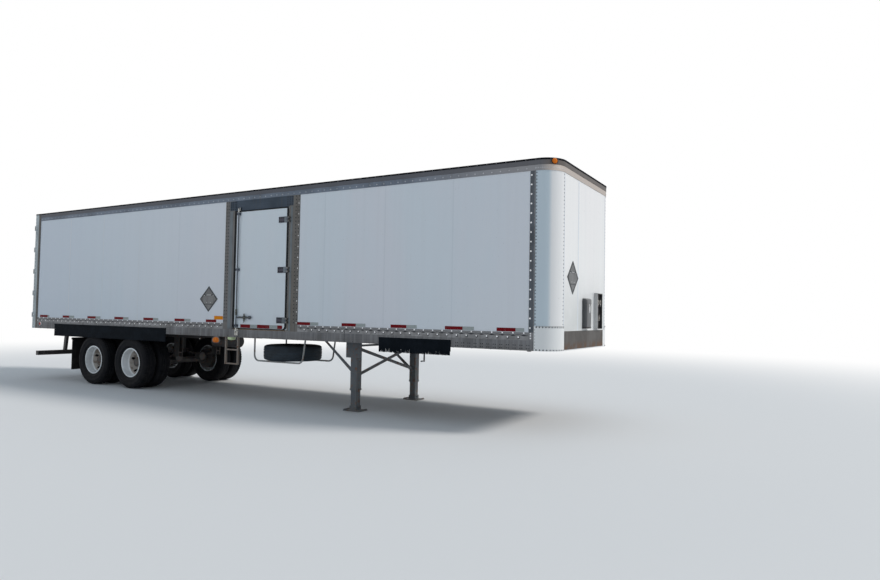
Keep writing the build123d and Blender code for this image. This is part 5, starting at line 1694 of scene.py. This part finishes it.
def oval(wide, tall, count=36, squareness=0.8):
    """The outline of a side lamp: an oval with fuller corners, round side_lamp."""
    points = []
    for i in range(count):
        a = 2 * math.pi * i / count
        c, s = math.cos(a), math.sin(a)
        dx, dz = math.copysign(abs(c) ** squareness, c), math.copysign(abs(s) ** squareness, s)
        points.append((side_lamp[0] + wide * dx * (1 - 0.10 * dz), side_lamp[1] + tall * dz))
    return points


def ring_stack(bm, side, stages, cap=True):
    """Joins ovals, each given by width, height and how far behind the lamp's face it lies."""
    rings = []
    for wide, tall, back in stages:
        rings.append([bm.verts.new((x, side * (lamp_face - back), z)) for x, z in oval(wide, tall)])
    skin_over(bm, rings)
    if cap:
        bm.faces.new(rings[-1])


def amber_lenses(bm):
    """The lenses of the corner lamps and of the lamps under the rails."""
    for side in (-1, 1):
        place, normal = corner_lamp_place(side, 0.004)
        dome(bm, place, normal, 0.039, 0.0195)
        ring_stack(
            bm, side,
            ((0.084, 0.050, 0.014), (0.082, 0.048, 0.007), (0.070, 0.040, 0.002), (0.040, 0.020, 0.0004)),
        )


housing = (
    # width, height, depth behind the lamp's face
    (0.080, 0.050, 0.034),
    (0.098, 0.061, 0.030),
    (0.099, 0.0615, 0.010),
    (0.086, 0.052, 0.006),
    (0.084, 0.050, 0.014),
)


def lamp_housings(bm):
    """Housings of the side lamps with their bent brackets, and two round feet on the left one."""
    for side in (-1, 1):
        ring_stack(bm, side, housing, False)
        ring_stack(bm, side, ((0.080, 0.050, 0.034), (0.040, 0.020, 0.034)))
        x0, x1 = side_lamp[0] - 0.045, side_lamp[0] + 0.045
        bar(
            bm, x0, x1, side * (lamp_face - 0.037), side * (lamp_face - 0.034), side_lamp[1] - 0.02,
            rail_bottom, 0.001,
        )
        bar(
            bm, x0, x1, side * (lamp_face - 0.037), side * (half - 0.012), rail_bottom - 0.003,
            rail_bottom, 0.001,
        )
        for x in (x0 + 0.02, x1 - 0.02):
            hex_bolt(bm, (x, side * (half - 0.004), rail_bottom - 0.003), (0, 0, -1), 0.007, 0.005)
    for dx in (-0.062, 0.062):
        place = (side_lamp[0] + dx, lamp_face - 0.006, side_lamp[1] - 0.040)
        profile = [(0.014, 0.0), (0.014, 0.003), (0.010, 0.0055), (0.0005, 0.006)]
        lathe(bm, profile, place, (0, 1, 0), 16, closed=False)


def lime_lens(bm):
    """The step lamp's pale dome."""
    dome(bm, step_lamp, (0, 0, -1), 0.073, 0.0595)


piece("amber_lamp_lenses", "van", "amber_lens", amber_lenses, 35, ("marker_lamps",))
piece("lamp_housings", "van", "lamp_housing", lamp_housings)
piece("step_lamp_lens", "van", "lime_lens", lime_lens)

# %% [markdown]
# ## Rear doors and rear frame
#
# The back of the trailer isn't seen in the photograph, so it carries what such doors have: a black bulb
# seal round each leaf, a pressed rub strip, bolts through every hinge strap and rod guide, cams at the
# rods' ends, a latch over each handle, and rows of heads on the posts, the header and the sill.

# %% Rear door seals, bolts and cams
door_faces = low("rear_door_left", "x")
leaf_y0, leaf_y1 = low("rear_door_left", "y"), high("rear_door_left", "y")
leaf_low, leaf_high = low("rear_door_left", "z"), high("rear_door_left", "z")
hinge_pin_y = half - 0.012
rear_hinge_z = evenly(floor_top + 0.160, leaf_high - 0.152, 0.505)
rod_table = ((0.450, 0.330, -1), (0.900, 0.430, 1))
rod_line = door_faces - 0.0205


def rear_seal(bm, side):
    """The bulb seal round one rear leaf."""
    outer = frame_outline(
        leaf_y0 + 0.001, leaf_y1 - 0.001, leaf_low + 0.001, leaf_high - 0.001, (0.02,) * 4
    )
    inner = frame_outline(
        leaf_y0 + 0.024, leaf_y1 - 0.024, leaf_low + 0.024, leaf_high - 0.024, (0.03,) * 4
    )
    crest = frame_outline(
        leaf_y0 + 0.012, leaf_y1 - 0.012, leaf_low + 0.012, leaf_high - 0.012, (0.025,) * 4
    )
    rings = []
    for outline, out in ((outer, 0.0), (crest, 0.005), (inner, 0.0)):
        rings.append([bm.verts.new((door_faces - out, side * y, z)) for y, z in outline])
    skin_over(bm, rings)


def rear_bolts(bm, side):
    """Bolts through the straps and the rod guides of one leaf."""
    for z in rear_hinge_z:
        for step in (0.045, 0.115, 0.185, 0.235):
            y = side * (leaf_y1 - step)
            hex_bolt(bm, (door_faces - 0.008, y, z), (-1, 0, 0), 0.011, 0.008)
    for place, _, _ in rod_table:
        y = hinge_pin_y - place
        for z in evenly(floor_top + 0.060, top_rail_low - 0.060, 0.740):
            for dy in (-0.026, 0.026):
                hex_bolt(bm, (rod_line - 0.0135, side * (y + dy), z), (-1, 0, 0), 0.0065, 0.004)


def rear_cams(bm, side):
    """The cams at the rods' ends and the latch plates over the handles."""
    for place, handle, towards in rod_table:
        y = side * (hinge_pin_y - place)
        for z, up in ((leaf_low - 0.075, 1), (leaf_high + 0.045, -1)):
            profile = [(0.0138, 0.0), (0.0185, 0.003), (0.0185, 0.045), (0.0138, 0.050)]
            lathe(bm, profile, (rod_line, y, z), (0, 0, up), 20, closed=False)
            bar(
                bm, rod_line - 0.012, rod_line + 0.010, y - 0.034, y + 0.034, z + up * 0.012,
                z + up * 0.034, 0.004,
            )
        tip = y + side * towards * 0.400
        z = floor_top + handle
        bar(
            bm, rod_line - 0.013, rod_line - 0.007, tip - side * towards * 0.055,
            tip - side * towards * 0.020, z - 0.045, z + 0.045, 0.002,
        )
        pipe(
            bm, [(rod_line - 0.008, tip - side * towards * 0.20, z), (rod_line - 0.009, tip, z)], 0.009, 10
        )


def leaf_ribs(bm, side):
    """The pressed rub strips across one leaf, low and at mid height."""
    for z in (floor_top + 0.20, floor_top + 0.75):
        for a, b in ((leaf_y0 + 0.045, leaf_y0 + 0.175), (leaf_y0 + 0.330, leaf_y1 - 0.55)):
            bar(bm, door_faces - 0.004, door_faces, side * a, side * b, z - 0.012, z + 0.012, 0.002)


rear_parts = (
    ("seal", "seal_rubber", rear_seal, None),
    ("bolts", "zinc_steel", rear_bolts, "zinc_steel"),
    ("cams", "pale_cam", rear_cams, "zinc_steel"),
    ("ribs", "white_paint", leaf_ribs, "white_paint"),
)
for door, side in (("left", 1), ("right", -1)):
    body = f"rear_door_{door}"
    for part, finish, draw_part, slot in rear_parts:
        piece(f"{body}_{part}", body, finish, lambda bm, d=draw_part, s=side: d(bm, s))



# %% Heads on the rear frame
def rear_frame_heads(bm):
    """Rows of heads on the rear posts' sides, the header and the sill."""
    for side in (-1, 1):
        for z in evenly(rail_bottom + 0.06, top_rail_high - 0.06, 0.085):
            rivet(bm, (rear + 0.040, side * half, z), (0, side, 0), 0.0085, 0.004)
    x = low("rear_header", "x")
    for y in evenly(-1.12, 1.12, 0.10):
        rivet(bm, (x, y, high("rear_header", "z") - 0.018), (-1, 0, 0), 0.0065, 0.003)
    x = low("rear_sill", "x")
    for y in evenly(-1.14, 1.14, 0.095):
        for z in (low("rear_sill", "z") + 0.018, high("rear_sill", "z") - 0.018):
            rivet(bm, (x, y, z), (-1, 0, 0), 0.0075, 0.0035)


def post_seam_heads(bm):
    """The close dark heads where the rear posts lap the side sheets."""
    for side in (-1, 1):
        for z in evenly(rail_bottom + 0.05, top_rail_high - 0.05, 0.062):
            rivet(bm, (high("rear_posts", "x") - 0.018, side * half, z), (0, side, 0), 0.0115, 0.0035)


def dock_bumpers(bm):
    """The rubber bumpers near the sill's two ends."""
    x = low("rear_sill", "x")
    for side in (-1, 1):
        bar(bm, x - 0.028, x, side * 0.86, side * 1.0, rail_bottom + 0.010, rail_bottom + 0.062, 0.006)


piece("rear_frame_heads", "van", "rivet_metal", rear_frame_heads)
piece("rear_post_seam_heads", "van", "dark_rivet", post_seam_heads)
piece("rear_dock_bumpers", "van", "seal_rubber", dock_bumpers)

# %% [markdown]
# ## Wheels and running gear
#
# Disc wheels carry a valve stem that reaches out between the twin rims and a bolted oil cap on each hub.
# The springs are held by U bolts, and the mudflaps by a plate with bolts.


# %% Hub caps, valves and U bolts
def hub_details(bm, x, side):
    """The cap's bolts and its ring on one hub."""
    y = side * high("hub_rear_left", "y")
    ring = [(0.030, -0.006), (0.030, 0.0), (0.052, 0.0), (0.056, -0.004), (0.056, -0.008)]
    lathe(bm, [(r, d - 0.0002) for r, d in ring], (x, y, tyre_radius), (0, side, 0), 28, closed=False)
    for i in range(6):
        a = math.radians(60 * i + 15)
        place = (x + 0.071 * math.cos(a), y - side * 0.0105, tyre_radius + 0.071 * math.sin(a))
        hex_bolt(bm, place, (0, side, 0), 0.0055, 0.005)


def valve_stems(bm, x, side):
    """A bent valve stem on each rim of a pair."""
    outer = half - belly_half
    for place, turn in ((outer - 0.030, 40), (outer - twin_gap + 0.150, 220)):
        a = math.radians(turn)
        points = []
        for r, out in ((0.262, -0.03), (0.250, 0.0), (0.238, 0.045), (0.236, 0.085)):
            points.append((x + r * math.cos(a), side * (place + out), tyre_radius + r * math.sin(a)))
        pipe(bm, points, 0.0042, 8)


def u_bolts(bm):
    """U bolts round each axle at the spring seats."""
    for x in wheel_x.values():
        for side in (-1, 1):
            y = side * (abs(low("leaf_springs", "y")) - 0.0375)
            for dx in (-0.075, 0.075):
                top = low("leaf_springs", "z") + 0.056
                left, right = y - 0.045, y + 0.045
                points = [
                    (x + dx, left, tyre_radius - 0.10), (x + dx, left, top),
                    (x + dx, (left + right) / 2, top + 0.016),
                ]
                points += [(x + dx, right, top), (x + dx, right, tyre_radius - 0.10)]
                pipe(bm, points, 0.0085, 10)


def flap_plates(bm):
    """The steel strip and bolts at the top of each mudflap."""
    x = low("mudflaps", "x")
    for side in (-1, 1):
        y0, y1 = side * (high("mudflaps", "y") - 0.610), side * high("mudflaps", "y")
        bar(bm, x - 0.004, x, y0, y1, 0.925, 0.965, 0.001)
        for y in evenly(min(y0, y1) + 0.04, max(y0, y1) - 0.04, 0.13):
            hex_bolt(bm, (x - 0.004, y, 0.945), (-1, 0, 0), 0.008, 0.006)


def flap_ribs(bm):
    """Raised ribs moulded down each mudflap and a thick lower edge."""
    x = low("mudflaps", "x")
    for side in (-1, 1):
        y0, y1 = side * (high("mudflaps", "y") - 0.610), side * high("mudflaps", "y")
        for y in evenly(min(y0, y1) + 0.05, max(y0, y1) - 0.05, 0.085):
            bar(bm, x - 0.003, x, y - 0.004, y + 0.004, 0.300, 0.900, 0.0015)
        bar(bm, x - 0.003, x, y0, y1, 0.272, 0.288, 0.001)


for end in ("rear", "front"):
    for side, sign in (("left", 1), ("right", -1)):
        body, x = f"wheels_{end}_{side}", wheel_x[end]
        piece(
            f"hub_cap_bolts_{end}_{side}", body, "drum_iron", lambda bm, x=x,
            s=sign: hub_details(bm, x, s),
        )
        piece(
            f"valve_stems_{end}_{side}", body, "rivet_metal", lambda bm, x=x,
            s=sign: valve_stems(bm, x, s),
        )
piece("spring_u_bolts", "van", "spring_steel", u_bolts)
piece("mudflap_plates", "van", "zinc_steel", flap_plates)
piece("mudflap_ribs", "van", "flap_rubber", flap_ribs)

# %% [markdown]
# ## Landing gear and ladder
#
# The legs are square tubes with bolted wing plates, a gear case with a ribbed cover, a collar where the
# inner tube runs out, and a pressed foot. The ladder's rungs get grip treads.

# %% Leg and ladder details
leg_x = mid("landing_legs", "x")
leg_y = half - 0.380


def leg_details(bm):
    """Bolts of the wing plates, the collars, the feet's folded edges and the gear case's ribs."""
    for side in (-1, 1):
        plate_y = side * (leg_y + 0.065 + 0.008)
        for dx in (-0.135, -0.095, 0.095, 0.135):
            for z in (0.92, 0.98, 1.04, 1.10):
                hex_bolt(bm, (leg_x + dx, plate_y, z), (0, side, 0), 0.009, 0.007)
        for z, size, tall in ((0.338, 0.0705, 0.030), (0.62, 0.0668, 0.014), (0.80, 0.0668, 0.014)):
            for a, b, c, d in ((-1, 1, -1, -0.94), (-1, 1, 0.94, 1), (-1, -0.94, -1, 1), (0.94, 1, -1, 1)):
                y0, y1 = side * leg_y + c * size, side * leg_y + d * size
                bar(bm, leg_x + a * size, leg_x + b * size, y0, y1, z, z + tall, 0.001)
        for dx in (-0.150, 0.150):
            bar(
                bm, leg_x + dx - 0.007, leg_x + dx + 0.007, side * leg_y - 0.118,
                side * leg_y + 0.118, 0.014, 0.030, 0.002,
            )
        pipe(bm, [(leg_x - 0.085, side * leg_y, 0.062), (leg_x + 0.085, side * leg_y, 0.062)], 0.012, 10)
    x = leg_x + 0.030
    y = leg_y + 0.065 + 0.008 + 0.080
    for dz in (-0.06, -0.02, 0.02, 0.06):
        bar(bm, x - 0.055, x + 0.055, y, y + 0.003, 0.98 + dz - 0.004, 0.98 + dz + 0.004, 0.001)


def ladder_details(bm):
    """Grip treads on the ladder's rungs and bolts at its head."""
    x0, x1 = low("side_ladder", "x"), high("side_ladder", "x")
    y = mid("side_ladder", "y")
    for z in (0.650 + 0.012, 0.905 + 0.012):
        for x in evenly(x0 + 0.04, x1 - 0.04, 0.022):
            bar(bm, x - 0.004, x + 0.004, y - 0.006, y + 0.006, z, z + 0.002)
    for x in (x0 + 0.015, x1 - 0.015):
        for z in (1.06, 1.11):
            hex_bolt(bm, (x, low("side_ladder", "y"), z), (0, -1, 0), 0.007, 0.005)


piece("landing_leg_details", "van", "leg_paint", leg_details)
piece("side_ladder_treads", "van", "zinc_steel", ladder_details)


# %% Bolts under the rails
def beam_bolts(bm):
    """Bolt heads under the rails where each floor beam stands on its flange."""
    for side in (-1, 1):
        for x in evenly(low("floor_beams", "x") + 0.03, high("floor_beams", "x") - 0.03, 0.305):
            rivet(bm, (x, side * (half - 0.045), rail_bottom), (0, 0, -1), 0.010, 0.006, 6)


piece("rail_underside_bolts", "van", "zinc_steel", beam_bolts)


# %% [markdown]
# ## Studio, light and camera
#
# The stage is a pale floor that fades into a white background, so nothing competes with the trailer. The
# light is a soft sky with a slight blue, and one broad warm-white lamp that comes from ahead and a little
# from the far side: the front of the trailer is bright and the door side lies in open shade, as in the
# photograph.


# %% Floor and background
floor_mesh = bmesh.new()
bmesh.ops.create_circle(floor_mesh, cap_ends=True, radius=120.0, segments=96)
floor_data = bpy.data.meshes.new("studio_floor")
floor_mesh.to_mesh(floor_data)
studio_floor = bpy.data.objects.new("studio_floor", floor_data)
bpy.context.scene.collection.objects.link(studio_floor)
studio_floor.location = (0, 0, -0.002)

floor_finish = Finish("Studio floor", (0.72, 0.72, 0.72), 0.85)
tree = floor_finish.tree
reach = put(tree, "ShaderNodeVectorMath", operation="LENGTH")
feed(tree, reach.inputs[0], put(tree, "ShaderNodeTexCoord").outputs["Object"])
far = fade(tree, reach.outputs["Value"], 9.0, 26.0)
seen = put(tree, "ShaderNodeLightPath").outputs["Is Camera Ray"]
white = put(tree, "ShaderNodeEmission")
feed(tree, white.inputs["Color"], (1, 1, 1))
blend = put(tree, "ShaderNodeMixShader")
feed(tree, blend.inputs[0], arithmetic(tree, "MULTIPLY", far, seen))
tree.links.new(floor_finish.shader.outputs[0], blend.inputs[1])
tree.links.new(white.outputs[0], blend.inputs[2])
tree.links.new(blend.outputs[0], tree.nodes["Material Output"].inputs["Surface"])
floor_data.materials.append(floor_finish.material)

world = bpy.data.worlds.new("Studio sky")
bpy.context.scene.world = world
world.use_nodes = True
tree = world.node_tree
rays = put(tree, "ShaderNodeLightPath").outputs
direct = arithmetic(tree, "ADD", rays["Is Camera Ray"], rays["Is Glossy Ray"])
shown = arithmetic(tree, "ADD", direct, rays["Is Transmission Ray"], clamp=True)
sky, backdrop = put(tree, "ShaderNodeBackground"), put(tree, "ShaderNodeBackground")
feed(tree, sky.inputs["Color"], (0.74, 0.87, 1.0))
feed(tree, sky.inputs["Strength"], 0.50)
feed(tree, backdrop.inputs["Color"], (1, 1, 1))
blend = put(tree, "ShaderNodeMixShader")
feed(tree, blend.inputs[0], shown)
tree.links.new(sky.outputs[0], blend.inputs[1])
tree.links.new(backdrop.outputs[0], blend.inputs[2])
tree.links.new(blend.outputs[0], tree.nodes["World Output"].inputs["Surface"])

lamp = bpy.data.lights.new("Broad key lamp", "SUN")
lamp.energy = 1.95
lamp.angle = math.radians(14)
lamp.color = (1.0, 0.97, 0.93)
key = bpy.data.objects.new("Broad key lamp", lamp)
towards_lamp = Vector((math.cos(math.radians(25)), math.sin(math.radians(25)), math.tan(math.radians(44))))
key.rotation_mode = "QUATERNION"
key.rotation_quaternion = towards_lamp.to_track_quat("Z", "Y")
bpy.context.scene.collection.objects.link(key)
bpy.context.scene.view_settings.view_transform = "Standard"
print("lamps:", lamp.energy, "sky:", sky.inputs["Strength"].default_value)

# %% [markdown]
# The camera stands where the photographer stood, about 1.6 m above the ground off the door-side front
# corner, with a fairly wide lens. The photograph's slight barrel distortion can't be given to a plain
# lens, so these values are the plain camera that comes nearest to it over the whole trailer, to about one
# pixel.

# %% Camera
photo_width = 880
place = Vector((middle + 9.41835, -9.69397, 1.62141))
turn, tilt, lean = 0.53086, 0.03367, 0.01791
focal_px, centre_px = 651.52, (434.486, 292.763)
ahead = Vector((-math.sin(turn) * math.cos(tilt), math.cos(turn) * math.cos(tilt), math.sin(tilt)))
right = Vector((math.cos(turn), math.sin(turn), 0.0))
above = right.cross(ahead)
leaned_right = math.cos(lean) * right + math.sin(lean) * above
leaned_up = -math.sin(lean) * right + math.cos(lean) * above
camera_data = bpy.data.cameras.new("Photo camera")
camera_data.sensor_width = 36.0
camera_data.lens = focal_px / photo_width * camera_data.sensor_width
camera_data.shift_x = (440.0 - centre_px[0]) / photo_width
camera_data.shift_y = (centre_px[1] - 290.0) / photo_width
camera = bpy.data.objects.new("Photo camera", camera_data)
looks = Matrix((leaned_right, leaned_up, -ahead)).transposed().to_4x4()
camera.matrix_world = Matrix.Translation(place) @ looks
bpy.context.scene.collection.objects.link(camera)
bpy.context.scene.camera = camera
print("lens:", round(camera_data.lens, 2), "mm")
